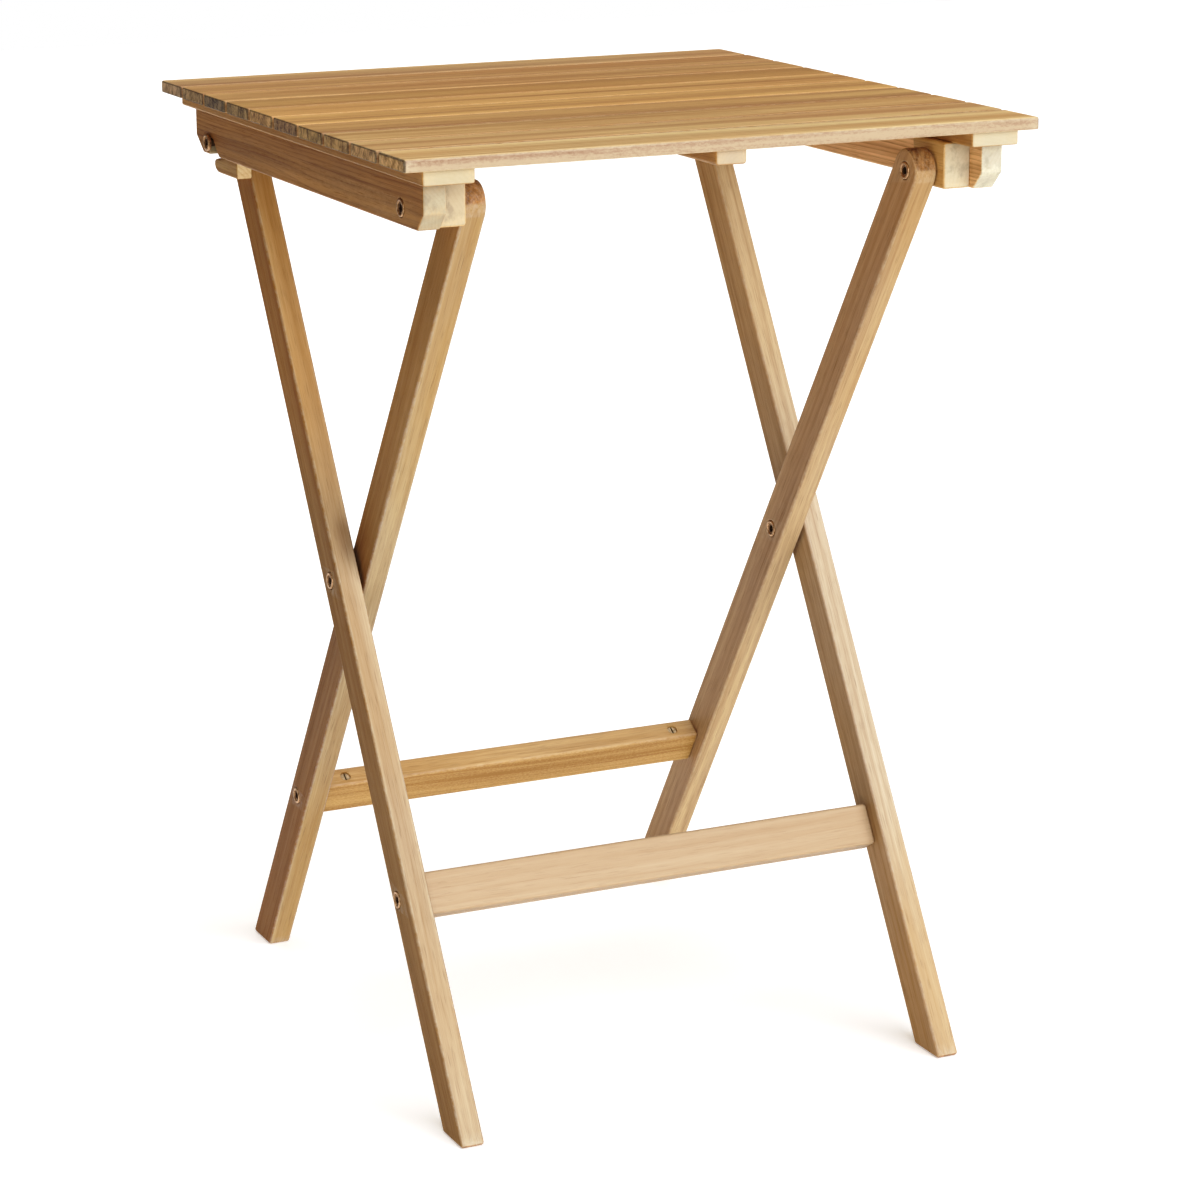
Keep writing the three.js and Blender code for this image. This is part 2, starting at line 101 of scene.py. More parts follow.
def rounded(pts, radii, seg=5):
    """A closed outline with its corners turned into arcs."""
    n, out = len(pts), []
    for i in range(n):
        p0, p, p1 = Vector(pts[i - 1]), Vector(pts[i]), Vector(pts[(i + 1) % n])
        r = radii[i] if hasattr(radii, "__len__") else radii
        a, b = (p0 - p), (p1 - p)
        la, lb = a.length, b.length
        a.normalize(); b.normalize()
        ang = math.acos(max(-1, min(1, a.dot(b))))
        if r <= 0 or ang > math.pi - 0.03:
            out.append((p.x, p.y))
            continue
        t = min(r / math.tan(ang / 2), 0.47 * la, 0.47 * lb)
        rr = t * math.tan(ang / 2)
        c = p + (a + b).normalized() * (rr / math.sin(ang / 2))
        s, e = p + a * t - c, p + b * t - c
        a0, a1 = math.atan2(s.y, s.x), math.atan2(e.y, e.x)
        d = (a1 - a0 + math.pi) % (2 * math.pi) - math.pi
        k = max(1, round(seg * abs(d) / (math.pi / 2)))
        for j in range(k + 1):
            out.append((c.x + rr * math.cos(a0 + d * j / k), c.y + rr * math.sin(a0 + d * j / k)))
    return out


def densify(pts, step):
    out = []
    for i, p in enumerate(pts):
        q = pts[(i + 1) % len(pts)]
        n = max(1, math.ceil(math.dist(p, q) / step))
        out += [(p[0] + (q[0] - p[0]) * k / n, p[1] + (q[1] - p[1]) * k / n) for k in range(n)]
    return out


def inward(P):
    e1, e2 = P - np.roll(P, 1, 0), np.roll(P, -1, 0) - P
    e1 /= np.linalg.norm(e1, axis=1)[:, None] + 1e-12
    e2 /= np.linalg.norm(e2, axis=1)[:, None] + 1e-12
    n1, n2 = np.c_[-e1[:, 1], e1[:, 0]], np.c_[-e2[:, 1], e2[:, 0]]
    m = n1 + n2
    m /= np.linalg.norm(m, axis=1)[:, None] + 1e-12
    return m / np.clip((m * n1).sum(1), 0.6, 1)[:, None]


def slab(outline, t0, t1, r0, r1, place, seg=4, holes=(), wobble=0.22, seed=0.0, crown=0.0):
    """A solid of the given outline between t0 and t1, with rounded rims of
    radius r0 and r1 whose radius wanders a little, as on sanded wood.
    place(a, b, t) gives the point in the row frame. holes are
    {"at": (a, b), "walls": [(t, r), ...]}: from the t0 face to the t1 face, or
    blind from either face."""
    P = np.array(ccw(outline), float)
    N = len(P)
    nrm = inward(P)
    wob = np.array([
        noise.noise(Vector((p[0] * 0.018 + seed, p[1] * 0.018 - seed, seed * 1.7))) for p in P])
    levels = []
    th = [math.pi / 2 * k / seg for k in range(seg + 1)]
    for a in th:
        r = r0 * (1 + wobble * wob)
        levels.append((t0 + r * (1 - math.cos(a)), r * (1 - math.sin(a))))
    for a in reversed(th):
        r = r1 * (1 + wobble * np.roll(wob, N // 3))
        levels.append((t1 - r * (1 - math.cos(a)), r * (1 - math.sin(a))))
    bm = bmesh.new()
    rings = []
    for t, d in levels:
        Q = P + nrm * d[:, None]
        rings.append([bm.verts.new(place(Q[i, 0], Q[i, 1], t[i])) for i in range(N)])
    for lo, hi in zip(rings, rings[1:]):
        for i in range(N):
            j = (i + 1) % N
            bm.faces.new((lo[i], lo[j], hi[j], hi[i]))
    caps = {0: [], 1: []}
    for h in holes:
        n = h.get("n", 32)
        loops = []
        for t, r in h["walls"]:
            loops.append([bm.verts.new(place(h["at"][0] + r * math.cos(2 * math.pi * k / n),
                                             h["at"][1] + r * math.sin(2 * math.pi * k / n), t)) for k in range(n)])
        for lo, hi in zip(loops, loops[1:]):
            for k in range(n):
                j = (k + 1) % n
                bm.faces.new((lo[k], hi[k], hi[j], lo[j]))
        kind = h.get("kind", "through")
        if kind in ("through", "from0"):
            caps[0].append((loops[0], h, h["walls"][0][1], n))
        if kind in ("through", "from1"):
            caps[1].append((loops[-1] if kind == "through" else loops[0], h,
                            h["walls"][-1][1] if kind == "through" else h["walls"][0][1], n))
        if kind != "through":
            bm.faces.new(loops[-1])
    for side, ring, t, d in ((0, rings[0], *levels[0]), (1, rings[-1], *levels[-1])):
        Q = P + nrm * d[:, None]
        polys = [[Vector((q[0], q[1], 0)) for q in Q]]
        verts = list(ring)
        for loop, h, r, n in caps[side]:
            polys.append([Vector((h["at"][0] + r * math.cos(2 * math.pi * k / n),
                                  h["at"][1] + r * math.sin(2 * math.pi * k / n), 0)) for k in range(n)])
            verts += loop
        for tri in tessellate_polygon(polys):
            if len(set(tri)) == 3:
                try:
                    bm.faces.new([verts[k] for k in tri])
                except ValueError:
                    pass
    return bm


def turned(profile, place, n=48, closed_start=True, closed_end=True):
    """A turned solid: profile is (t, r) with r a number or a function of the angle."""
    bm = bmesh.new()
    rings = []
    for t, r in profile:
        ring = []
        for k in range(n):
            a = 2 * math.pi * k / n
            rr = r(a) if callable(r) else r
            ring.append(bm.verts.new(place(rr * math.cos(a), rr * math.sin(a), t)))
        rings.append(ring)
    for lo, hi in zip(rings, rings[1:]):
        for k in range(n):
            j = (k + 1) % n
            bm.faces.new((lo[k], lo[j], hi[j], hi[k]))
    if closed_start:
        c = bm.verts.new(place(0, 0, profile[0][0]))
        for k in range(n):
            bm.faces.new((c, rings[0][(k + 1) % n], rings[0][k]))
    if closed_end:
        c = bm.verts.new(place(0, 0, profile[-1][0]))
        for k in range(n):
            bm.faces.new((c, rings[-1][k], rings[-1][(k + 1) % n]))
    return bm


def lathe_ring(profile, place, n=48):
    """A turned solid whose profile closes on itself, such as a washer."""
    bm = bmesh.new()
    rings = [[bm.verts.new(place(r * math.cos(2 * math.pi * k / n), r * math.sin(2 * math.pi * k / n), t))
              for k in range(n)] for t, r in profile]
    for lo, hi in zip(rings, rings[1:] + rings[:1]):
        for k in range(n):
            j = (k + 1) % n
            bm.faces.new((lo[k], lo[j], hi[j], hi[k]))
    return bm


def hexagon(flats):
    step = math.pi / 3
    return lambda a: (flats / 2) / math.cos((a + step / 2) % step - step / 2)


def cross_slot(arm, width, out):
    """A cross recess's outline as a radius by angle."""
    def r(a):
        x, y = abs(math.cos(a)), abs(math.sin(a))
        big, small = max(x, y), min(x, y)
        ra = min(arm / big, (width / 2) / max(small, 1e-6))
        return max(ra, width / 2 * 1.25)
    return r


def merge(*bms):
    out = bmesh.new()
    for b in bms:
        me = bpy.data.meshes.new("tmp")
        b.to_mesh(me)
        out.from_mesh(me)
        bpy.data.meshes.remove(me)
        b.free()
    return out


def to_object(name, bm, sharp=38.0, scale=MM):
    bmesh.ops.remove_doubles(bm, verts=bm.verts, dist=1e-4)
    bmesh.ops.recalc_face_normals(bm, faces=bm.faces)
    bmesh.ops.scale(bm, vec=(scale, scale, scale), verts=bm.verts)
    for f in bm.faces:
        f.smooth = True
    me = bpy.data.meshes.new(name)
    bm.to_mesh(me)
    bm.free()
    me.set_sharp_from_angle(angle=math.radians(sharp))
    ob = bpy.data.objects.new(name, me)
    bpy.context.scene.collection.objects.link(ob)
    return ob


def drill(ob, cutters):
    """Cuts closed meshes out of ob."""
    tool = to_object("tool", merge(*cutters))
    mod = ob.modifiers.new("cut", "BOOLEAN")
    mod.operation, mod.solver, mod.object = "DIFFERENCE", "EXACT", tool
    dg = bpy.context.evaluated_depsgraph_get()
    me = bpy.data.meshes.new_from_object(ob.evaluated_get(dg))
    ob.modifiers.clear()
    old = ob.data
    ob.data = me
    me.name = ob.name
    bpy.data.meshes.remove(old)
    bpy.data.objects.remove(tool)
    for p in me.polygons:
        p.use_smooth = True
    me.set_sharp_from_angle(angle=math.radians(38))
    return ob


def paint(ob, fibre, side, pith, shift=0.0, raw=None):
    """Stores the wood's own coordinates on the mesh: along the fibres, then
    across them from the tree's centre, which lies `pith` millimetres from the
    piece's middle; how far a face looks along the fibres; where the rounded
    edges are; which faces look along a given direction and which look sideways (the wide ones of a leg), both to carry
    painted light and shade."""
    me = ob.data
    n = len(me.vertices)
    co = np.empty(n * 3, np.float32); me.vertices.foreach_get("co", co); co = co.reshape(-1, 3)
    no = np.empty(n * 3, np.float32); me.vertices.foreach_get("normal", no); no = no.reshape(-1, 3)
    a = np.array(Vector(fibre).normalized()); b = np.array(side, float)
    b = b - a * (a @ b); b /= np.linalg.norm(b); c = np.cross(a, b)
    mid_ = (co.min(0) + co.max(0)) / 2
    rel = co - mid_
    g = np.c_[rel @ a + shift, rel @ b + pith[0] * MM, rel @ c + pith[1] * MM].astype(np.float32)
    at_ = me.attributes.new("grain", "FLOAT_VECTOR", "POINT"); at_.data.foreach_set("vector", g.ravel())
    e = me.attributes.new("endness", "FLOAT", "POINT"); e.data.foreach_set("value", np.abs(no @ a).astype(np.float32))
    bm = bmesh.new(); bm.from_mesh(me); bm.verts.ensure_lookup_table()
    s = np.zeros(n, np.float32)
    for ed in bm.edges:
        if len(ed.link_faces) == 2:
            ang = ed.calc_face_angle_signed(0.0)
            if 0.03 < ang < 0.7:
                for v in ed.verts:
                    s[v.index] += ang
    bm.free()
    w = np.clip((s - math.radians(24)) / math.radians(12), 0, 1).astype(np.float32)
    w = w * w * (3 - 2 * w)
    m = me.attributes.new("edge", "FLOAT", "POINT"); m.data.foreach_set("value", w)
    # faces that look along the given direction, to carry painted light and shade
    if raw is not None:
        v = np.clip((np.abs(no @ np.array(raw, float)) - 0.30) / 0.5, 0, 1).astype(np.float32)
        me.attributes.new("raw", "FLOAT", "POINT").data.foreach_set("value", v)
    # faces that look sideways, to carry painted shade
    v = np.clip((np.abs(no[:, 0]) - 0.35) / 0.5, 0, 1).astype(np.float32)
    me.attributes.new("flank", "FLOAT", "POINT").data.foreach_set("value", v)


def cavity(ob, axis_point, axis, depth_at, depth=1.0):
    """Stores how deep a point lies in a recess of a fastener."""
    me = ob.data
    n = len(me.vertices)
    co = np.empty(n * 3, np.float32); me.vertices.foreach_get("co", co); co = co.reshape(-1, 3) / MM
    a = np.array(axis, float)
    d = (np.array(axis_point) - co) @ a
    rel = co - np.array(axis_point); rad = np.linalg.norm(rel - np.outer(rel @ a, a), axis=1)
    v = np.clip((d - depth_at) / depth, 0, 1) * (rad < 4.9)
    m = me.attributes.new("recess", "FLOAT", "POINT"); m.data.foreach_set("value", v.astype(np.float32))
    ob.data.attributes.new("seedv", "FLOAT_VECTOR", "POINT").data.foreach_set(
        "vector", (co * MM + np.array([hash_name(ob.name) % 97 * 0.13, 0, 0])).astype(np.float32).ravel())


def hash_name(s):
    h = 7
    for ch in s:
        h = (h * 131 + ord(ch)) % 1000003
    return h


def finish_piece(ob, body, slot, material, *nodes):
    ob.data.materials.clear()
    ob.data.materials.append(material)
    mod = ob.modifiers.new("normals", "WEIGHTED_NORMAL")
    mod.keep_sharp = True
    mod.weight = 80
    if nodes:
        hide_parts(*nodes)
    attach(ob, body)
    return ob


# ---------------------------------------------------------------- materials
def lin(h):
    h = h.lstrip("#")
    out = []
    for i in (0, 2, 4):
        c = int(h[i:i + 2], 16) / 255
        out.append(c / 12.92 if c <= 0.04045 else ((c + 0.055) / 1.055) ** 2.4)
    return (*out, 1.0)


# Multipliers on each piece's colours, by material, with its end grain apart. The entries for the legs' side faces paint
# shade on them, and those for faces set apart by direction paint light and shade on them.
TINT = {
    "top_wood_01": (1.26, 1.718, 2.6),
    "top_wood_02": (1.192, 1.551, 2.184),
    "top_wood_03": (0.968, 1.118, 1.552),
    "top_wood_04": (0.996, 1.135, 1.387),
    "top_wood_05": (1.077, 1.214, 1.52),
    "top_wood_06": (1.147, 1.318, 1.477),
    "top_wood_07": (0.924, 1.037, 1.254),
    "top_wood_08": (1.149, 1.359, 1.584),
    "top_wood_09": (0.886, 0.955, 1.262),
    "top_wood_10": (1.043, 1.267, 1.898),
    "top_wood_01:raw": (0.48, 0.464, 0.447),
    "left_batten_finish:end": (0.592, 0.566, 0.596),
    "right_batten_finish:end": (0.618, 0.611, 0.674),
    "middle_batten_finish:end": (0.558, 0.512, 0.567),
    "left_rail_finish": (0.81, 0.718, 0.624),
    "right_rail_finish": (1.603, 1.853, 2.6),
    "left_rail_finish:end": (0.603, 0.589, 0.611),
    "left_spacer_finish:end": (0.656, 0.622, 0.639),
    "right_rail_finish:end": (0.742, 0.779, 0.91),
    "right_spacer_finish:end": (0.701, 0.702, 0.767),
    "left_inner_leg_finish": (0.767, 1.108, 2.149),
    "right_inner_leg_finish": (0.847, 1.116, 1.687),
    "left_outer_leg_finish": (0.892, 1.27, 2.169),
    "right_outer_leg_finish": (0.815, 1.111, 2.042),
    "back_stretcher_finish": (0.847, 1.037, 1.603),
    "front_stretcher_finish": (0.611, 0.628, 0.739),
    "left_rest_finish": (0.864, 0.885, 0.873),
    "top_wood_01:end": (1.009, 1.013, 0.99),
    "top_wood_02:end": (1.023, 1.062, 1.148),
    "top_wood_03:end": (0.87, 0.916, 0.98),
    "top_wood_04:end": (0.935, 1.024, 1.08),
    "top_wood_05:end": (0.862, 0.911, 1.185),
    "top_wood_06:end": (1.029, 1.055, 1.169),
    "top_wood_07:end": (0.94, 1.097, 1.285),
    "top_wood_08:end": (0.719, 0.883, 1.27),
    "top_wood_09:end": (0.892, 1.008, 1.231),
    "top_wood_10:end": (0.962, 1.078, 1.328),
    "left_inner_leg_finish:flank": (0.672, 0.435, 0.276),
    "right_inner_leg_finish:flank": (0.98, 0.892, 0.915),
    "left_outer_leg_finish:flank": (0.672, 0.471, 0.239),
    "right_outer_leg_finish:flank": (0.941, 0.805, 0.669),
    "back_stretcher_finish:raw": (0.738, 0.818, 0.962),
}


class Net:
    def __init__(self, name):
        self.mat = bpy.data.materials.new(name)
        self.mat.use_nodes = True
        self.t = self.mat.node_tree
        self.t.nodes.clear()
        self.out = self.t.nodes.new("ShaderNodeOutputMaterial")
        self.bsdf = self.t.nodes.new("ShaderNodeBsdfPrincipled")
        self.t.links.new(self.bsdf.outputs[0], self.out.inputs[0])

    def put(self, sock, v):
        if isinstance(v, bpy.types.NodeSocket):
            self.t.links.new(v, sock)
        else:
            sock.default_value = v

    def attr(self, name, out="Fac"):
        n = self.t.nodes.new("ShaderNodeAttribute")
        n.attribute_name = name
        return n.outputs[out]

    def m(self, op, a, b=None, c=None, clamp=False):
        n = self.t.nodes.new("ShaderNodeMath")
        n.operation, n.use_clamp = op, clamp
        for s, v in zip(n.inputs, (a, b, c)):
            if v is not None:
                self.put(s, v)
        return n.outputs[0]

    def vm(self, op, a, b=None, scale=None, out=0):
        n = self.t.nodes.new("ShaderNodeVectorMath")
        n.operation = op
        self.put(n.inputs[0], a)
        if b is not None:
            self.put(n.inputs[1], b)
        if scale is not None:
            self.put(n.inputs["Scale"], scale)
        return n.outputs["Value"] if op in ("LENGTH", "DOT_PRODUCT") else n.outputs[out]

    def noise(self, vec, mul, detail=2.0, rough=0.5, dist=0.0, color=False):
        n = self.t.nodes.new("ShaderNodeTexNoise")
        n.inputs["Scale"].default_value = 1.0
        n.inputs["Detail"].default_value = detail
        n.inputs["Roughness"].default_value = rough
        n.inputs["Distortion"].default_value = dist
        self.put(n.inputs["Vector"], self.vm("MULTIPLY", vec, mul))
        return n.outputs["Color" if color else "Fac"]

    def mix(self, f, a, b, mode="MIX"):
        n = self.t.nodes.new("ShaderNodeMix")
        n.data_type, n.blend_type, n.clamp_factor = "RGBA", mode, True
        self.put(n.inputs[0], f)
        self.put(n.inputs[6], a)
        self.put(n.inputs[7], b)
        return n.outputs[2]

    def ramp(self, f, stops, ease="LINEAR"):
        n = self.t.nodes.new("ShaderNodeValToRGB")
        n.color_ramp.interpolation = ease
        e = n.color_ramp.elements
        while len(e) < len(stops):
            e.new(0.5)
        for el, (p, c) in zip(e, stops):
            el.position = p
            el.color = (c, c, c, 1) if not hasattr(c, "__len__") else c
        self.put(n.inputs[0], f)
        return n.outputs[0]

    def span(self, v, a, b, c=0.0, d=1.0, smooth=True):
        n = self.t.nodes.new("ShaderNodeMapRange")
        n.interpolation_type = "SMOOTHSTEP" if smooth else "LINEAR"
        self.put(n.inputs["Value"], v)
        for k, x in zip(("From Min", "From Max", "To Min", "To Max"), (a, b, c, d)):
            n.inputs[k].default_value = x
        return n.outputs["Result"]


def wood(name, light, dark, end_light, end_dark, warm="#B5743C", ring=3.4, ringc=0.55, streak=0.75, fine=0.35,
         blotch=0.25, wear_and_highlight=0.35, wear_and_highlight_tone="#E2C08C", knots=(), freq=1.0, pores=0.35, rough=0.5, end_ring=0.8, end_rough=1.0, end_at=(0.62, 0.86), end_outline_shade=0.0, end_grey=0.0, grey=0.0, key=None, raw=None, gloss=0.25, top_end_light=None):
    """Wood whose long faces run light to dark along growth rings and streaks,
    with warm patches, pores, rubbed edges that also carry a painted highlight, knots and its own end grain, and where
    asked painted light and shade on side faces, upper ends, sawn ends and faces set apart by direction."""
    w = Net(name)
    tint = TINT.get(key or name, (1, 1, 1))
    etint = TINT.get((key or name) + ":end", (1, 1, 1))

    def lc(h, t=tint):
        c = lin(h)
        return (min(c[0] * t[0], 1.0), min(c[1] * t[1], 1.0), min(c[2] * t[2], 1.0), 1.0)

    G = w.attr("grain", "Vector")
    warp = w.noise(G, (1.6 * freq, 7.0, 7.0), detail=2.0, color=True)
    warp = w.vm("MULTIPLY", w.vm("SUBTRACT", warp, (0.5, 0.5, 0.5)), (0.0, 0.022, 0.022))
    G2 = w.vm("ADD", G, warp)
    flat = w.vm("MULTIPLY", G2, (0.0, 1.0, 1.0))
    r = w.vm("LENGTH", flat)
    phase = w.m("MULTIPLY", r, 1000.0 / ring)
    phase = w.m("ADD", phase, w.m("MULTIPLY", w.noise(G, (2.4 * freq, 40.0, 40.0), detail=3.0, rough=0.55), 2.6))
    kn = None
    for (kx, ky, kz, rx, ry, rz, s) in knots:
        d = w.vm("LENGTH", w.vm("MULTIPLY", w.vm("SUBTRACT", G, (kx, ky, kz)), (1 / rx, 1 / ry, 1 / rz)))
        v = w.m("MULTIPLY", w.span(d, 1.0, 0.15), s)
        kn = v if kn is None else w.m("MAXIMUM", kn, v)
    if kn is not None:
        phase = w.m("ADD", phase, w.m("MULTIPLY", kn, 2.2))
    saw = w.m("FRACT", phase)
    ringv = w.ramp(saw, [(0.0, 0.25), (0.35, 0.12), (0.72, 0.55), (0.9, 1.0), (1.0, 0.25)], "EASE")
    s1 = w.noise(G2, (0.9 * freq, 46.0, 46.0), detail=3.0, rough=0.6)
    s2 = w.noise(G2, (3.2 * freq, 230.0, 230.0), detail=3.0, rough=0.6)
    s3 = w.noise(G, (38.0, 1300.0, 1300.0), detail=3.0, rough=0.65)
    big = w.noise(G, (2.6, 11.0, 11.0), detail=2.0)
    f = w.m("MULTIPLY", w.m("SUBTRACT", ringv, 0.42), ringc)
    f = w.m("ADD", f, w.m("MULTIPLY", w.m("SUBTRACT", s1, 0.5), streak * 3.6))
    f = w.m("ADD", f, w.m("MULTIPLY", w.m("SUBTRACT", s2, 0.5), fine * 3.2))
    f = w.m("ADD", f, w.m("MULTIPLY", w.m("SUBTRACT", s3, 0.5), fine * 2.0))
    f = w.m("ADD", f, 0.5, clamp=True)
    col = w.mix(f, lc(light), lc(dark))
    col = w.mix(w.m("MULTIPLY", w.span(big, 0.42, 0.66), blotch), col, lc(warm))
    if grey:
        col = w.mix(w.m("MULTIPLY", w.span(w.noise(G, (3.4, 21.0, 17.0), detail=3.0), 0.46, 0.64), grey), col, lc("#8C7A66"))
    pore = w.span(w.noise(G, (52.0, 1900.0, 1900.0), detail=1.0), 0.60, 0.72)
    col = w.mix(w.m("MULTIPLY", pore, pores), col, lc("#6B4526"))
    if top_end_light:  # painted light: a multiplier that lightens and warms a leg's upper end, as light and warm bounce where the tabletop's shadow falls
        sep = w.t.nodes.new("ShaderNodeSeparateXYZ")
        w.put(sep.inputs[0], G2)
        where = w.span(sep.outputs[0], top_end_light[0], top_end_light[1])
        if len(top_end_light) > 3:  # on the wide faces only
            where = w.m("MULTIPLY", where, w.attr("flank"))
        col = w.mix(where, col, w.mix(1.0, col, (*top_end_light[2], 1.0), "MULTIPLY"))
    side_shade_tint = TINT.get((key or name) + ":flank")
    if side_shade_tint:  # painted shade: the legs' wide side faces, which look away from the key light, darker and more saturated
        col = w.mix(w.attr("flank"), col, w.mix(1.0, col, (*side_shade_tint, 1.0), "MULTIPLY"))
    if raw:  # painted light and shade on faces set apart by direction: the slats' sides darker, as in the shade of the gaps between them, and the front slat's front face and the back stretcher's wide faces toned apart for the light that falls on them
        rf = w.m("ADD", w.m("MULTIPLY", w.m("SUBTRACT", s2, 0.5), 2.4), 0.5)
        rf = w.m("ADD", rf, w.m("MULTIPLY", w.m("SUBTRACT", s1, 0.5), 2.8))
        speck = w.noise(G, (420.0, 900.0, 900.0), detail=3.0, rough=0.7)
        rf = w.m("ADD", rf, w.m("MULTIPLY", w.m("SUBTRACT", speck, 0.5), 1.8), clamp=True)
        rt = TINT.get((key or name) + ":raw", (1, 1, 1))
        rcol = w.mix(rf, lc(raw[0], rt), lc(raw[1], rt))
        col = w.mix(w.attr("raw"), col, rcol)
    # end grain: growth rings as arcs, with pores as dots
    e1 = w.noise(G2, (40.0, 190.0, 110.0), detail=4.0, rough=0.65)
    e2 = w.noise(G, (900.0, 1500.0, 1500.0), detail=1.0)
    ef = w.m("ADD", w.m("MULTIPLY", w.m("SUBTRACT", ringv, 0.45), end_ring), 0.5)
    ef = w.m("ADD", ef, w.m("MULTIPLY", w.m("SUBTRACT", e1, 0.5), 1.4 * end_rough))
    ef = w.m("ADD", ef, w.m("MULTIPLY", w.m("SUBTRACT", e2, 0.5), 0.5 * end_rough), clamp=True)
    ecol = w.mix(ef, lc(end_light, etint), lc(end_dark, etint))
    if end_grey:
        patch = w.span(w.noise(G, (40.0, 75.0, 95.0), detail=4.0, rough=0.6), 0.48, 0.66)
        ecol = w.mix(w.m("MULTIPLY", patch, end_grey), ecol, lc("#A89C80", etint))
    endness = w.attr("endness")
    endm = w.span(endness, *end_at)
    col = w.mix(endm, col, ecol)
    if end_outline_shade:  # painted shade: a dark outline round the sawn ends, where the gaps between the slats fall in shade
        band = w.m("MULTIPLY", w.span(endness, 0.30, 0.62), w.span(endness, 0.93, 0.995, 1.0, 0.0))
        col = w.mix(w.m("MULTIPLY", band, end_outline_shade), col, lin("#33251A"))
    # sanded and rubbed edges, lighter, which also stand for a painted highlight along the rounded arrises
    rub_and_highlight = w.m("MULTIPLY", w.attr("edge"), w.span(w.noise(G, (170.0, 420.0, 420.0), detail=4.0, rough=0.75), 0.30, 0.70))
    col = w.mix(w.m("MULTIPLY", rub_and_highlight, wear_and_highlight), col, lc(wear_and_highlight_tone))
    if kn is not None:
        col = w.mix(w.span(kn, 0.05, 1.0, 0.0, 0.85), col, lin("#5A351B"))
    w.put(w.bsdf.inputs["Base Color"], col)
    ro = w.m("ADD", w.m("MULTIPLY", w.m("SUBTRACT", s2, 0.5), 0.22), rough)
    ro = w.m("ADD", ro, w.m("MULTIPLY", endm, 0.16))
    ro = w.m("ADD", ro, w.m("MULTIPLY", pore, 0.12), clamp=True)
    w.put(w.bsdf.inputs["Roughness"], ro)
    w.bsdf.inputs["Specular IOR Level"].default_value = gloss
    h = w.m("ADD", w.m("MULTIPLY", s3, 0.5), w.m("MULTIPLY", s2, 0.7))
    h = w.m("SUBTRACT", h, w.m("MULTIPLY", pore, 0.9))
    h = w.m("ADD", h, w.m("MULTIPLY", w.m("MULTIPLY", e2, endm), 0.25))
    b = w.t.nodes.new("ShaderNodeBump")
    b.inputs["Strength"].default_value = 0.55
    b.inputs["Distance"].default_value = 0.00012
    w.put(b.inputs["Height"], h)
    w.put(w.bsdf.inputs["Normal"], b.outputs[0])
    return w.mat


def metal(name, bright, dull, deep, rough=0.32, marks=0.5, metallic=1.0):
    w = Net(name)
    V = w.attr("seedv", "Vector")
    n1 = w.noise(V, (420.0, 420.0, 420.0), detail=4.0, rough=0.65)
    n2 = w.noise(V, (130.0, 2600.0, 2600.0), detail=2.0)
    col = w.mix(w.span(n1, 0.36, 0.68), lin(bright), lin(dull))
    col = w.mix(w.m("MULTIPLY", w.span(n2, 0.55, 0.75), marks), col, lin(deep))
    # darker towards the bottom of a fastener's recess: patina in the hollow, and painted shade there as well
    rec = w.attr("recess")
    col = w.mix(w.m("MULTIPLY", rec, 0.85), col, lin(deep))
    w.put(w.bsdf.inputs["Base Color"], col)
    w.bsdf.inputs["Metallic"].default_value = metallic
    ro = w.m("ADD", w.m("MULTIPLY", w.m("SUBTRACT", n1, 0.5), 0.5), rough)
    ro = w.m("ADD", ro, w.m("MULTIPLY", rec, 0.3), clamp=True)
    w.put(w.bsdf.inputs["Roughness"], ro)
    b = w.t.nodes.new("ShaderNodeBump")
    b.inputs["Strength"].default_value = 0.35
    b.inputs["Distance"].default_value = 0.00006
    w.put(b.inputs["Height"], w.m("ADD", n1, w.m("MULTIPLY", n2, 0.6)))
    w.put(w.bsdf.inputs["Normal"], b.outputs[0])
    return w.mat


BRONZE = metal("bronze_plated", "#CFA983", "#8A6B4C", "#453324", rough=0.34, metallic=0.85)
DOWEL = metal("dowel_steel", "#CDBB9C", "#A38D6C", "#3A2F24", rough=0.5, metallic=0.65)
STEEL = metal("zinc_steel", "#C9C6BE", "#96928A", "#4A463F", rough=0.38)

# ------------------------------------------------------------------- the top
X_OF = lambda a, b, t: (a, b, t)                     # outline in plan, thickness up
S = {1: "right", -1: "left"}

SLAT_TONES = [  # light, dark, warm, ring pitch, ring depth, streak depth
    ("#D3A463", "#A87642", "#B9793D", 3.6, 0.50, 0.80),
    ("#CB9A5B", "#A06E3E", "#A8683A", 2.9, 0.40, 0.65),
    ("#D2A562", "#AD7D45", "#BD8144", 4.2, 0.55, 0.70),
    ("#C99A5C", "#9A6B40", "#A26A3C", 3.1, 0.45, 0.85),
    ("#CD9C58", "#A37241", "#B3763C", 3.8, 0.50, 0.75),
    ("#C6965A", "#98693F", "#A3663B", 2.7, 0.42, 0.80),
    ("#CD9D5C", "#A87745", "#B0723A", 3.3, 0.50, 0.65),
    ("#C3935A", "#97683F", "#A16539", 3.0, 0.45, 0.80),
    ("#CB9B5A", "#A27142", "#AD703A", 4.0, 0.52, 0.70),
    ("#C89858", "#9F6F40", "#A96C39", 3.4, 0.46, 0.75),
]
SLAT_ENDS = [("#DDB580", "#8A6640"), ("#D2A873", "#755638"), ("#D0A66F", "#7A5A3A"), ("#C79C68", "#5A4430"),
             ("#BC9362", "#5A4430"), ("#D0A66E", "#7C5C3E"), ("#B98F60", "#4C3A2A"), ("#A9845A", "#493829"),
             ("#C49A68", "#5E4731"), ("#CBA273", "#72553C")]
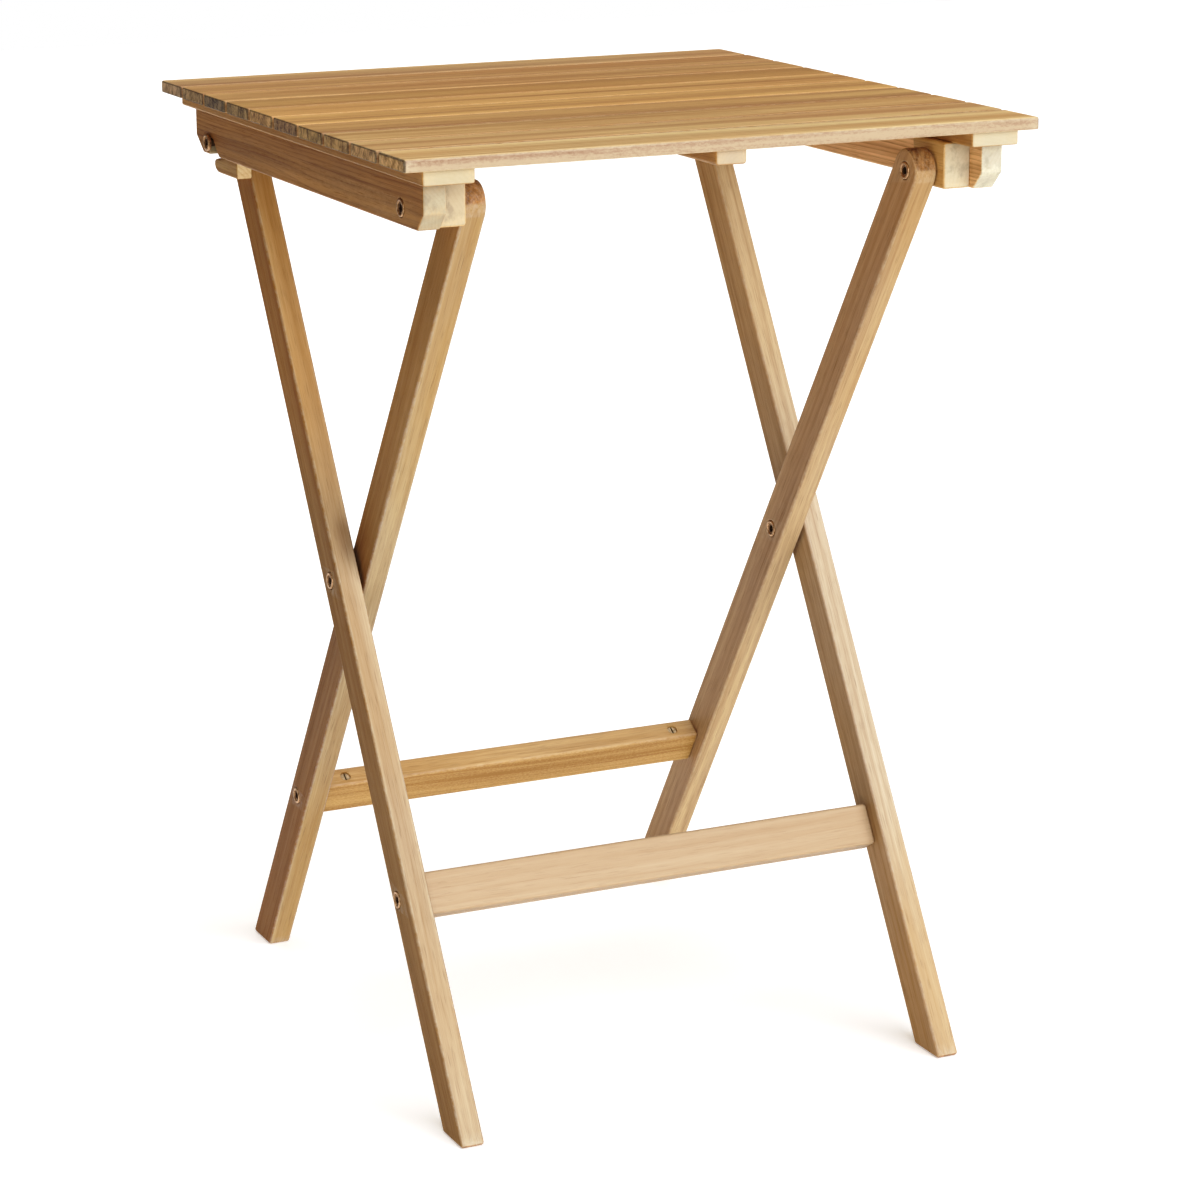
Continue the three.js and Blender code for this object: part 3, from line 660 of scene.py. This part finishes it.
for i in range(10):
    node = f"slat_{i + 1:02d}"
    (x0, x1), (y0, y1), (z0, z1) = ext(node)
    rnd = [0.5 + 0.5 * noise.noise(Vector((i * 3.7 + 0.31, k * 1.9 + 0.77, 4.2))) for k in range(6)]
    outline = [(x0 + 0.9 * rnd[0], y0), (x1 - 0.9 * rnd[1], y0), (x1 - 0.9 * rnd[1], y1), (x0 + 0.9 * rnd[0], y1)]
    corner = 2.6 if i in (0, 9) else 2.0
    outline = densify(rounded(outline, corner, 5), 9.0)
    bm = slab(outline, z0, z1, 1.0, 1.9 if i == 0 else 1.25, X_OF, seg=4, seed=i * 2.3 + 0.4, wobble=0.10)
    ob = to_object(f"slat_{i + 1:02d}_wood", bm)
    pith = [(34, -62), (-52, -40), (12, -75), (70, -30), (-25, -58), (48, -66), (-78, -35), (20, -48), (-40, -70), (60, -52)][i]
    paint(ob, (1, 0, 0), (0, 1, 0), pith, shift=0.37 + i * 0.731, raw=(0, 1, 0))
    lt, dk, wm, ring, rc, st = SLAT_TONES[i]
    el, ed = SLAT_ENDS[i]
    # the slats' sides take darker colours, painted shade in the gaps between the slats, and their sawn ends a painted
    # dark outline
    mat = wood(f"top_wood_{i + 1:02d}", lt, dk, el, ed, warm=wm, ring=ring, ringc=rc, streak=st * (1.35, 1.5, 2.0, 1.5)[min(i, 3)] if i < 4 else st * 1.35, fine=0.32,
               blotch=0.35, wear_and_highlight=0.14, freq=0.7 + 0.05 * (i % 4), end_ring=0.3, end_rough=2.6, end_outline_shade=0.75, gloss=0.42,
               raw=("#EDD3AE", "#B88B68") if i == 0 else ("#A67B4A", "#7E5833"))
    finish_piece(ob, "tabletop", "top_wood", mat, node)

PALE_END = ("#EBDDB4", "#C9B07D")
batten_nodes = [("left_batten", 1.5), ("middle_batten", 2.4), ("right_batten", 1.5)]
screw_pts = {}


def screw_tip(face, length, place, head=3.5, core=1.6, thread=0.35, turns=None, n=24):
    """A countersunk cross-head wood screw along t, from its head's face at
    t = 0 to its tip at t = length, with a cut thread of stacked ridges."""
    prof = [(1.35, cross_slot(0.35, 0.35, 0)), (1.2, cross_slot(1.5, 0.55, 0)), (0.06, cross_slot(1.95, 0.8, 0)),
            (0.0, 2.6), (0.0, head - 0.12), (0.12, head), (0.45, head), (2.5, core + 0.25), (3.2, core)]
    t = 4.4
    while t < length - 3.2:
        prof += [(t, core * 0.86), (t + 0.55, core + thread), (t + 0.8, core + thread * 0.9)]
        t += 1.35
    prof += [(length - 2.8, core * 0.8), (length - 1.2, core * 0.45), (length, 0.08)]
    return turned(prof, place, n=n)


slat_mid_y = [mid(f"slat_{i + 1:02d}")[1] for i in range(10)]
for node, low in batten_nodes:
    (x0, x1), (y0, y1), (z0, z1) = ext(node)
    outline = densify(rounded([(x0, y0), (x1, y0), (x1, y1), (x0, y1)], [2.0, 2.0, 2.0, 2.0], 5), 9.0)
    bm = slab(outline, z0, z1, low, 0.5, X_OF, seg=4, seed=hash_name(node) % 50 * 0.31, wobble=0.2)
    ob = to_object(f"{node}_wood", bm)
    xs = {"left_batten": -200.3, "right_batten": 200.3, "middle_batten": 0.0}[node]
    cutters, screws = [], []
    for k, y in enumerate(slat_mid_y):
        dx = 0.9 * noise.noise(Vector((k * 1.3, xs * 0.11, 0.5)))
        dy = 2.2 * noise.noise(Vector((k * 2.1, xs * 0.07, 3.5)))
        cx, cy = xs + dx, y + dy
        pl = lambda a, b, t, cx=cx, cy=cy: (cx + a, cy + b, z0 + 0.35 + t)
        cutters.append(turned([(-2.0, 3.9), (-0.1, 3.85), (0.6, 3.65), (2.9, 2.1), (15.2, 2.05)], pl, n=24))
        screws.append(screw_tip(0, 15.0, pl, head=3.4, core=1.5))
    if node != "middle_batten":
        sx = mid(node.replace("batten", "side_rail"))[0]
        for which in ("front", "rear"):
            sn = node.replace("batten", "rail_screw_" + which)
            sy = mid(sn)[1]
            top = ext(sn)[2][1]
            pl = lambda a, b, t, sx=sx, sy=sy, top=top: (sx + a, sy + b, top - t)
            cutters.append(turned([(-2.0, 3.9), (0.1, 3.85), (0.6, 3.7), (3.0, 2.15), (16.0, 2.1)], pl, n=24))
    drill(ob, cutters)
    paint(ob, (0, 1, 0), (1, 0, 0), (18, -44) if node != "middle_batten" else (-30, -38), shift=hash_name(node) % 11 * 0.37)
    mat = wood(f"{node}_finish", "#B98E58", "#8C653C", "#EDE0B8", "#DBCA9E", warm="#96652F", ring=3.0, ringc=0.3,
               streak=0.5, fine=0.3, blotch=0.25, wear_and_highlight=0.2, end_ring=0.14, end_rough=0.3)
    finish_piece(ob, "tabletop", "batten_wood", mat, node)
    so = to_object(f"{node.replace('_batten', '')}_slat_screws", merge(*screws), sharp=30)
    cavity(so, (0, 0, z0 + 0.35), (0, 0, -1), 0.1, 0.6)
    finish_piece(so, "tabletop", "steel", STEEL)


# ------------------------------------------------------- side rails, spacers
def side_place(sx):
    """Outlines in (Y, Z), thickness along X; mirrored for the left side."""
    return lambda a, b, t: (sx * t, a, b)


SEAT = 3.6


def rail_outline():
    seat = [(REAR[0] + SEAT * math.cos(a), REAR[1] + SEAT * math.sin(a))
            for a in np.linspace(math.radians(90), math.radians(-25.1), 14)]
    base = [
        (RAIL_FRONT + 12, RAIL_LOW), (REAR[0] - 21.8, RAIL_LOW), (REAR[0] - 15.4, REAR[1] - 4.6),
        (REAR[0] - 12.4, REAR[1] - 1.1), (REAR[0] - 10.2, REAR[1] + 1.6), (REAR[0] - 7.0, REAR[1] + 3.2),
        *seat,
        (REAR[0] - 0.61, RAIL_LOW), (RAIL_BACK - 16, RAIL_LOW), (RAIL_BACK, RAIL_LOW + 12),
        (RAIL_BACK, RAIL_TOP), (RAIL_FRONT, RAIL_TOP), (RAIL_FRONT, RAIL_LOW + 12.5),
    ]
    rad = [3.0, 2.0, 3.0, 2.0, 2.0, 0.0] + [0.0] * len(seat) + [1.6, 2.6, 2.2, 1.6, 1.6, 2.2]
    return densify(rounded(base, rad, 5), 9.0)


LEG_TONES = {
    "left_inner": ("#D2A05A", "#A4713A", "#B9782F"),
    "right_inner": ("#CFA064", "#A07043", "#AE7638"),
    "left_outer": ("#CDA069", "#A07244", "#A87238"),
    "right_outer": ("#D6AC70", "#AA7B47", "#BC8136"),
}
for sx in (1, -1):
    side = S[sx]
    P = side_place(sx)
    seedy = 3.1 if sx > 0 else 7.7
    # side rail
    hole = {"at": PIVOT, "n": 40, "walls": [(RAIL_IN, 3.6), (RAIL_IN + 0.3, 3.3), (RAIL_OUT - 2.3, 3.3), (RAIL_OUT - 2.25, 6.8),
                                            (RAIL_OUT - 0.35, 6.85), (RAIL_OUT - 0.1, 6.98), (RAIL_OUT, 7.2)]}
    bm = slab(rail_outline(), RAIL_IN, RAIL_OUT, 1.3, 1.4, P, seg=4, holes=[hole], seed=seedy, wobble=0.07)
    ob = to_object(f"{side}_side_rail_wood", bm)
    cutters = []
    for which in ("front", "rear"):
        sn = f"{side}_rail_screw_{which}"
        m_ = mid(sn)
        pl = lambda a, b, t, m_=m_: (m_[0] + a, m_[1] + b, RAIL_TOP + 2 - t)
        cutters.append(turned([(0, 2.05), (1.6, 2.0), (27.0, 1.95), (28.2, 0.4)], pl, n=24))
    drill(ob, cutters)
    paint(ob, (0, 1, 0), (0, 0, 1), (26 if sx < 0 else -30, 33), shift=seedy)
    mat = wood(f"{side}_rail_finish", "#C89A5F", "#8E6236", "#E4D8B4", "#CBB892", warm="#94602F", ring=2.6, ringc=0.5,
               streak=0.6, fine=0.35, blotch=0.35, wear_and_highlight=0.3, end_ring=0.2, end_rough=0.7, end_at=(0.45, 0.62), end_grey=0.5, grey=0.12)
    finish_piece(ob, "tabletop", "rail_wood", mat, f"{side}_side_rail")

    # spacer block
    node = f"{side}_spacer_block"
    (xa, xb), (y0, y1), (z0, z1) = ext(node)
    s0, s1 = (xa, xb) if sx > 0 else (-xb, -xa)
    outline = densify(rounded([(y0, z0), (y1, z0), (y1, z1), (y0, z1)], [3.0, 2.6, 1.2, 1.6], 5), 7.0)
    bm = slab(outline, s0, s1, 2.2, 0.9, P, seg=4, seed=seedy + 1.2, wobble=0.18,
              holes=[{"at": PIVOT, "n": 32, "walls": [(s0, 3.7), (s0 + 0.4, 3.3), (s1, 3.3)]}])
    ob = to_object(f"{side}_spacer_block_wood", bm)
    paint(ob, (0, 1, 0), (0, 0, 1), (20, 28 if sx < 0 else -36), shift=seedy * 1.3)
    mat = wood(f"{side}_spacer_finish", "#DDBE88", "#B98F58", "#E9DBB4", "#D3C19A", warm="#C08A50", ring=3.2, ringc=0.4,
               streak=0.5, fine=0.3, wear_and_highlight=0.25, end_ring=0.18, end_rough=0.6, end_grey=0.5, grey=0.1)
    finish_piece(ob, "tabletop", "pale_wood", mat, node)


# ----------------------------------------------------------------- the legs
def leg_outline(top, up, across):
    n = 26
    arc = [at(top, across, HALF * math.cos(math.pi * k / n), up, HALF * math.sin(math.pi * k / n)) for k in range(n + 1)]

    def ground(o):
        p = at(top, across, o)
        t = -p[1] / up[1]
        return (p[0] + up[0] * t, 0.0)

    pts = ccw(arc + [ground(-HALF), ground(HALF)])
    # only the two ground corners are broken
    rad = [2.4 if abs(p[1]) < 1e-6 else 0.0 for p in pts]
    return densify(rounded(pts, rad, 4), 8.0)


def bore(at_, x0, x1, head=None, nut=None):
    """The walls of a bolt's hole through a leg: a sleeve bore from the inner
    face for a cap nut, and a counterbore on the outer face for a head."""
    w = []
    if nut:
        w += [(x0, 7.15), (x0 + 0.12, 6.95), (x0 + 0.35, 6.85), (x0 + 1.5, 6.8), (x0 + 1.55, 4.5), (x0 + 13, 4.5), (x0 + 13.05, 3.3)]
    else:
        w += [(x0, 3.6), (x0 + 0.3, 3.3)]
    if head:
        w += [(x1 - 2.25, 3.3), (x1 - 2.2, 6.8), (x1 - 0.35, 6.85), (x1 - 0.12, 6.95), (x1, 7.15)]
    else:
        w += [(x1 - 0.3, 3.3), (x1, 3.6)]
    return {"at": at_, "n": 40, "walls": w}


REST_SCREWS = [mid("right_rest_screw_front")[1:], mid("right_rest_screw_rear")[1:]]
for sx in (1, -1):
    side = S[sx]
    P = side_place(sx)
    seedy = 11.3 if sx > 0 else 17.9
    # inner leg
    holes = [bore(PIVOT, INNER_IN, INNER_OUT, nut=True), bore(CROSS, INNER_IN, INNER_OUT, nut=True),
             bore(BACK_BOLT, INNER_IN, INNER_OUT, head=True)]
    bm = slab(leg_outline(PIVOT, IN_UP, IN_REAR), INNER_IN, INNER_OUT, 2.2, 2.2, P, seg=5, holes=holes, seed=seedy, wobble=0.05)
    ob = to_object(f"{side}_inner_leg_wood", bm)
    paint(ob, (0, IN_UP[0], IN_UP[1]), (1, 0, 0), (30, 38) if sx < 0 else (-44, 22), shift=seedy)
    lt, dk, wm = LEG_TONES[f"{side}_inner"]
    # the left inner leg's wide faces get painted light on their upper end, under the tabletop's shadow
    mat = wood(f"{side}_inner_leg_finish", lt, dk, "#AC7F4D", "#5C3A20", warm=wm, ring=3.0, ringc=0.10, streak=0.30, fine=0.42, end_ring=0.25,
               end_rough=1.5, end_at=(0.55, 0.68),
               blotch=0.45, wear_and_highlight=0.22, grey=0.06, gloss=0.12,
               top_end_light=(seedy - 0.02, seedy + 0.24, (1.45, 1.75, 1.9), "flank") if sx < 0 else None)
    finish_piece(ob, "inner_frame", "leg_wood", mat, f"{side}_inner_leg")
    # outer leg
    holes = [bore(REAR, OUTER_IN, OUTER_OUT, nut=True), bore(CROSS, OUTER_IN, OUTER_OUT, head=True),
             bore(FRONT_BOLT, OUTER_IN, OUTER_OUT, head=True)]
    for p in REST_SCREWS:
        holes.append({"at": p, "n": 24, "walls": [(OUTER_IN, 4.1), (OUTER_IN + 0.2, 3.85), (OUTER_IN + 0.5, 3.8),
                                                  (OUTER_IN + 2.9, 2.15), (OUTER_OUT, 2.1)]})
    bm = slab(leg_outline(OUTER_HEAD, OUT_UP, OUT_FRONT), OUTER_IN, OUTER_OUT, 2.2, 2.2, P, seg=5, holes=holes, seed=seedy + 2.2, wobble=0.05)
    ob = to_object(f"{side}_outer_leg_wood", bm)
    paint(ob, (0, OUT_UP[0], OUT_UP[1]), (1, 0, 0), (36, -30) if sx < 0 else (-28, 40), shift=seedy * 1.7)
    lt, dk, wm = LEG_TONES[f"{side}_outer"]
    # the outer legs' upper ends get painted light and warm bounce under the tabletop's shadow
    mat = wood(f"{side}_outer_leg_finish", lt, dk, "#AC804F", "#5C3B22", warm=wm, ring=3.2, ringc=0.10, streak=0.30, fine=0.42, end_ring=0.25,
               end_rough=1.5, end_at=(0.55, 0.68),
               blotch=0.45, wear_and_highlight=0.22, grey=0.06, gloss=0.12,
               knots=[(30.4858, 0.0408, -0.0407, 0.034, 0.013, 0.014, 0.5)] if sx < 0 else (),
               top_end_light=(seedy * 1.7 + 0.02, seedy * 1.7 + 0.22, (1.2, 1.05, 0.78) if sx < 0 else (1.06, 1.0, 0.84)))
    finish_piece(ob, "outer_frame", "leg_wood", mat, f"{side}_outer_leg")
    # rest block
    node = f"{side}_rest_block"
    (xa, xb), (y0, y1), (z0, z1) = ext(node)
    s0, s1 = (xa, xb) if sx > 0 else (-xb, -xa)
    dy = REAR[0] - 200.5
    outline = [(156, 652.5), (201, 652.5), (205.5, 654), (208.2, 657), (208.6, 660), (206.5, 662.2), (200, 663.6),
               (178, z1 - 0.6), (168, z1), (158, z1), (156, z1 - 2)]
    outline = [(a + dy, b) for a, b in outline]
    outline = densify(rounded(outline, [1.8, 6, 4, 3, 2.4, 2.4, 20, 10, 4, 1.2, 1.2], 4), 6.0)
    scr = [{"at": p, "n": 24, "walls": [(s0, 2.1), (s0 + 8.5, 2.0), (s0 + 9.0, 0.5)], "kind": "from0"} for p in REST_SCREWS]
    bm = slab(outline, s0, s1, 1.0, 1.4, P, seg=4, holes=scr, seed=seedy + 3.9, wobble=0.2)
    ob = to_object(f"{side}_rest_block_wood", bm)
    paint(ob, (0, 1, 0), (0, 0, 1), (24, 30), shift=seedy * 0.7)
    mat = wood(f"{side}_rest_finish", "#D6B078", "#A5784A", "#EBD9AE", "#C7A876", warm="#A9733C", ring=2.8, ringc=0.45,
               streak=0.6, fine=0.3, wear_and_highlight=0.3, end_ring=0.4)
    finish_piece(ob, "outer_frame", "pale_wood", mat, node)


# --------------------------------------------------------------- stretchers
def stretcher(name, body, centre, up, across, x_half, slot, mat, pith, seedy, wide=None):
    w, t = 32.4 / 2, 18.0 / 2

    def pl(a, b, c):
        return (a, centre[0] + up[0] * b + across[0] * c, centre[1] + up[1] * b + across[1] * c)

    outline = densify(rounded([(-x_half, -w), (x_half, -w), (x_half, w), (-x_half, w)], 2.6, 5), 9.0)
    bm = slab(outline, -t, t, 2.2, 2.2, pl, seg=5, seed=seedy, wobble=0.08)
    ob = to_object(name + "_wood", bm)
    cutters = []
    for s in (-1, 1):
        bx = s * (x_half - 21)
        # dowel hole from the upper narrow face
        hp = lambda a, b, c, bx=bx: pl(bx + a, w + 2 - c, b)
        cutters.append(turned([(0, 4.6), (1.8, 4.35), (2.1, 4.2), (2.5, 4.1), (2 + w + 6.5, 4.1)], hp, n=40))
        bp = lambda a, b, c, s=s: pl(s * (x_half + 1 - c), a, b)
        cutters.append(turned([(0, 3.5), (31, 3.3)], bp, n=32))
    drill(ob, cutters)
    paint(ob, (1, 0, 0), (0, across[0], across[1]), pith, shift=seedy, raw=wide)
    finish_piece(ob, body, slot, mat, name)
    return pl


# the back stretcher's wide faces take their own colours, painted light and shade set apart from its top face
mat = wood("back_stretcher_finish", "#D8AA66", "#AC7B40", "#D0AB72", "#94683B", warm="#BC8440", ring=3.0, ringc=0.2,
           streak=0.5, fine=0.6, blotch=0.35, wear_and_highlight=0.2, grey=0.12, raw=("#D2A461", "#A8763C"))
BACK_PL = stretcher("back_stretcher", "inner_frame", BACK_BOLT, IN_UP, IN_REAR, INNER_IN - 0.05, "leg_wood", mat, (30, 36), 23.1,
                    wide=(0, IN_REAR[0], IN_REAR[1]))
mat = wood("front_stretcher_finish", "#DFC192", "#C9A574", "#E2C79A", "#B48C5C", warm="#D8AE7C", ring=4.6, ringc=0.20,
           streak=0.16, fine=0.26, blotch=0.10, wear_and_highlight=0.15, pores=0.12, grey=0.03)
FRONT_PL = stretcher("front_stretcher", "outer_frame", FRONT_BOLT, OUT_UP, OUT_FRONT, OUTER_IN - 0.05, "pale_wood", mat, (-46, 30), 29.7)


# ---------------------------------------------------------------- fasteners
def x_place(sx, face, p, out):
    """Along t into the wood from the face at |X| = face; out is +1 where the
    face looks away from the table's middle."""
    return lambda a, b, t: (sx * (face - out * t), p[0] + a, p[1] + b)


def head_profile(r=6.5, dish_r=4.55, dish=0.85, socket=5.0, depth=2.4):
    """From the socket's floor out over the rim."""
    h = hexagon(socket)
    return [(dish + depth, lambda a: h(a) * 0.35), (dish + depth - 0.15, lambda a: h(a) * 0.93), (dish + depth - 0.5, h),
            (dish + 0.22, h), (dish + 0.08, lambda a: h(a) * 0.4 + 0.6 * (socket / 2 + 0.33)), (dish, socket / 2 + 0.62),
            (dish, dish_r - 0.42), (dish - 0.12, dish_r - 0.18), (0.26, dish_r + 0.06), (0.07, dish_r + 0.2),
            (0.0, dish_r + 0.45), (0.0, r - 0.85), (0.07, r - 0.48), (0.26, r - 0.2), (0.6, r - 0.03), (0.9, r)]


def bolt_mesh(length, place, thread_from=9.0):
    prof = head_profile()
    prof += [(2.35, 6.5), (2.7, 6.32), (2.8, 6.0), (2.8, 3.25), (3.1, 3.0)]
    t = max(thread_from, length - 15)
    prof.append((t - 0.3, 3.0))
    while t < length - 1.6:
        prof += [(t, 2.62), (t + 0.32, 2.98), (t + 0.44, 2.98), (t + 0.76, 2.62)]
        t += 0.84
    prof += [(length - 0.7, 2.75), (length - 0.15, 2.3), (length, 1.9)]
    return turned(prof, place, n=48)


def nut_mesh(length, place, bore_from=4.4):
    prof = head_profile(depth=1.9)
    prof += [(1.6, 6.5), (1.9, 6.3), (2.0, 6.0), (2.0, 4.35), (2.3, 4.2), (length - 0.5, 4.2), (length - 0.1, 4.0), (length, 3.7),
             (length, 3.4), (length - 0.3, 3.22), (bore_from + 0.3, 3.2), (bore_from, 2.4)]
    return turned(prof, place, n=48)


def washer_mesh(t0, t1, r_in, r_out, place):
    c = min(0.18, (t1 - t0) * 0.3)
    return lathe_ring([(t0, r_in + c), (t0 + c, r_in), (t1 - c, r_in), (t1, r_in + c), (t1, r_out - c * 1.6), (t1 - c, r_out - c * 0.4),
                       ((t0 + t1) / 2, r_out), (t0 + c, r_out - c * 0.4), (t0, r_out - c * 1.6)], place, n=64)


def fastener(name, bm, body, slot, mat, node, point, axis):
    ob = to_object(name, bm, sharp=32)
    cavity(ob, point, axis, 0.5, 0.6)
    finish_piece(ob, body, slot, mat, node)


bolts = [("front_pivot_bolt", "inner_frame", PIVOT), ("crossing_bolt", "inner_frame", CROSS), ("rear_bolt", "outer_frame", REAR),
         ("back_stretcher_bolt", "inner_frame", BACK_BOLT), ("front_stretcher_bolt", "outer_frame", FRONT_BOLT)]
nuts = [("front_pivot_nut", "inner_frame", PIVOT), ("crossing_nut", "inner_frame", CROSS), ("rear_nut", "outer_frame", REAR)]
for sx in (1, -1):
    side = S[sx]
    for nm, body, p in bolts:
        lo, hi = ext(f"right_{nm}")[0]
        turn = hash_name(side + nm) % 60
        ca, sa = math.cos(math.radians(turn)), math.sin(math.radians(turn))
        base = x_place(sx, hi, p, 1)
        pl = lambda a, b, t, base=base, ca=ca, sa=sa: base(a * ca - b * sa, a * sa + b * ca, t)
        fastener(f"{side}_{nm}_metal", bolt_mesh(hi - lo, pl), body, "bronze", BRONZE, f"{side}_{nm}",
                 (sx * hi, p[0], p[1]), (sx, 0, 0))
    for nm, body, p in nuts:
        lo, hi = ext(f"right_{nm}")[0]
        turn = hash_name(side + nm) % 60
        ca, sa = math.cos(math.radians(turn)), math.sin(math.radians(turn))
        base = x_place(sx, lo, p, -1)
        pl = lambda a, b, t, base=base, ca=ca, sa=sa: base(a * ca - b * sa, a * sa + b * ca, t)
        fastener(f"{side}_{nm}_metal", nut_mesh(hi - lo, pl), body, "bronze", BRONZE, f"{side}_{nm}",
                 (sx * lo, p[0], p[1]), (-sx, 0, 0))
    for nm, body, p, ro in (("front_pivot_washer", "inner_frame", PIVOT, 8.0), ("crossing_washer", "inner_frame", CROSS, 9.0)):
        lo, hi = ext(f"right_{nm}")[0]
        pl = lambda a, b, t, p=p, sx=sx: (sx * t, p[0] + a, p[1] + b)
        fastener(f"{side}_{nm}_metal", washer_mesh(lo, hi, 3.3, ro, pl), body, "steel", STEEL, f"{side}_{nm}",
                 (sx * hi, p[0], p[1]), (sx, 0, 0))
    # cross dowels in the stretchers, slotted on the end that shows
    for nm, body, pl0, xh in (("back_barrel_nut", "inner_frame", BACK_PL, INNER_IN), ("front_barrel_nut", "outer_frame", FRONT_PL, OUTER_IN)):
        bx = sx * (xh - 21)
        pl = lambda a, b, t, bx=bx, pl0=pl0: pl0(bx + a, 15.0 - t, b)
        bm = turned([(0.0, 3.1), (0.0, 3.55), (0.12, 3.85), (0.45, 4.0), (20.55, 4.0), (20.88, 3.85), (21.0, 3.55), (21.0, 2.0)], pl, n=48)
        ob = to_object(f"{side}_{nm}_metal", bm, sharp=32)
        slot_cut = bmesh.new()
        bmesh.ops.create_cube(slot_cut, size=1.0)
        for v in slot_cut.verts:
            x, y, z = v.co
            v.co = pl0(bx + x * 1.2, 15.0 + 0.2 - (y + 0.5) * 1.4, z * 9.0)
        thr = turned([(0, 2.75), (0.4, 2.55), (9.6, 2.55), (10.0, 2.75)], lambda a, b, t, bx=bx, pl0=pl0: pl0(bx - 5 + t, a, b), n=32)
        drill(ob, [slot_cut, thr])
        c = pl0(bx, 15.0, 0)
        top = np.array(pl0(bx, 16.0, 0)) - np.array(c)
        cavity(ob, c, top, 0.2, 1.0)
        finish_piece(ob, body, "steel", DOWEL, f"{side}_{nm}")
    for which in ("front", "rear"):
        nm = f"rest_screw_{which}"
        lo, hi = ext(f"right_{nm}")[0]
        p = mid(f"right_{nm}")[1:]
        pl = x_place(sx, lo, p, -1)
        fastener(f"{side}_{nm}_metal", screw_tip(0, hi - lo, pl), "outer_frame", "steel", STEEL, f"{side}_{nm}",
                 (sx * lo, p[0], p[1]), (-sx, 0, 0))
        nm = f"rail_screw_{which}"
        node = f"{side}_{nm}"
        m_ = mid(node)
        lo, hi = ext(node)[2]
        pl = lambda a, b, t, m_=m_, hi=hi: (m_[0] + a, m_[1] + b, hi - t)
        fastener(f"{side}_{nm}_metal", screw_tip(0, hi - lo, pl), "tabletop", "steel", STEEL, node,
                 (m_[0], m_[1], hi), (0, 0, 1))

# ------------------------------------------------------------ floor and light
bm = bmesh.new()
bmesh.ops.create_grid(bm, x_segments=24, y_segments=24, size=7.0)
me = bpy.data.meshes.new("floor")
bm.to_mesh(me)
bm.free()
floor = bpy.data.objects.new("floor", me)
floor.location = (5.4, 0, -0.0004)
bpy.context.scene.collection.objects.link(floor)
w = Net("floor_paint")
co = w.t.nodes.new("ShaderNodeTexCoord").outputs["Object"]
w.put(w.bsdf.inputs["Base Color"], w.mix(w.noise(co, (3.0, 3.0, 3.0), detail=3.0), (0.90, 0.90, 0.90, 1), (0.92, 0.92, 0.92, 1)))
w.bsdf.inputs["Roughness"].default_value = 0.9
w.bsdf.inputs["Specular IOR Level"].default_value = 0.1
w.bsdf.inputs["Emission Color"].default_value = (1.0, 0.97, 0.93, 1)
w.bsdf.inputs["Emission Strength"].default_value = 0.33
me.materials.append(w.mat)

world = bpy.data.worlds.new("studio")
bpy.context.scene.world = world
world.use_nodes = True
nt = world.node_tree
nt.nodes.clear()
wo = nt.nodes.new("ShaderNodeOutputWorld")
seen = nt.nodes.new("ShaderNodeBackground")
seen.inputs[0].default_value = (1, 1, 1, 1)
seen.inputs[1].default_value = 1.0
lit = nt.nodes.new("ShaderNodeBackground")
lit.inputs[0].default_value = (1.0, 0.82, 0.62, 1)
lit.inputs[1].default_value = 0.14
lp = nt.nodes.new("ShaderNodeLightPath")
mx = nt.nodes.new("ShaderNodeMixShader")
nt.links.new(lp.outputs["Is Camera Ray"], mx.inputs[0])
nt.links.new(lit.outputs[0], mx.inputs[1])
nt.links.new(seen.outputs[0], mx.inputs[2])
nt.links.new(mx.outputs[0], wo.inputs[0])


def sun(name, towards, strength, angle, color=(1, 1, 1)):
    """A wide, even light from the direction `towards`; strength 1 makes a white
    surface that faces it read as white."""
    d = bpy.data.lights.new(name, "SUN")
    d.energy, d.angle, d.color = strength * math.pi, math.radians(angle), color
    o = bpy.data.objects.new(name, d)
    o.rotation_euler = Vector(towards).to_track_quat("Z", "Y").to_euler()
    o.location = (0, 0, 2)
    bpy.context.scene.collection.objects.link(o)
    return o


sun("key", (0.24, -0.83, 0.45), 1.02, 58, (0.95, 1.0, 1.08))
sun("top", (-0.05, 0.1, 1.0), 0.46, 70, (1.0, 1.0, 0.98))
sun("fill", (-0.30, -0.93, 0.16), 0.28, 36, (1.0, 1.0, 1.0))

# --------------------------------------------------------------------- camera
yaw, pitch, roll = 0.43666, -0.26007, -0.00498
fwd = Vector((math.sin(yaw) * math.cos(pitch), math.cos(yaw) * math.cos(pitch), math.sin(pitch)))
right = Vector((math.cos(yaw), -math.sin(yaw), 0))
up = right.cross(fwd)
r2 = math.cos(roll) * right + math.sin(roll) * up
u2 = -math.sin(roll) * right + math.cos(roll) * up
cam = bpy.data.cameras.new("camera")
cam.lens = 107.834
cam.sensor_width = 36.0
cam.clip_start, cam.clip_end = 0.05, 60.0
cam.dof.use_dof = False
co_ = bpy.data.objects.new("camera", cam)
m4 = Matrix((r2, u2, -fwd)).transposed().to_4x4()
m4.translation = Vector((-1.13070, -2.45863, 1.04891))
co_.matrix_world = m4
bpy.context.scene.collection.objects.link(co_)
bpy.context.scene.camera = co_

bpy.context.scene.view_settings.view_transform = "Standard"
bpy.context.scene.view_settings.look = "None"
# a gentle contrast curve, as on a finished product picture
vs = bpy.context.scene.view_settings
vs.use_curve_mapping = True
cm = vs.curve_mapping
curve = cm.curves[3]
curve.points[0].location = (0.0, 0.0)
curve.points[1].location = (1.0, 1.0)
for x, y in ((0.05, 0.026), (0.14, 0.108), (0.36, 0.345), (0.72, 0.745)):
    curve.points.new(x, y)
cm.update()

bpy.context.view_layer.update()
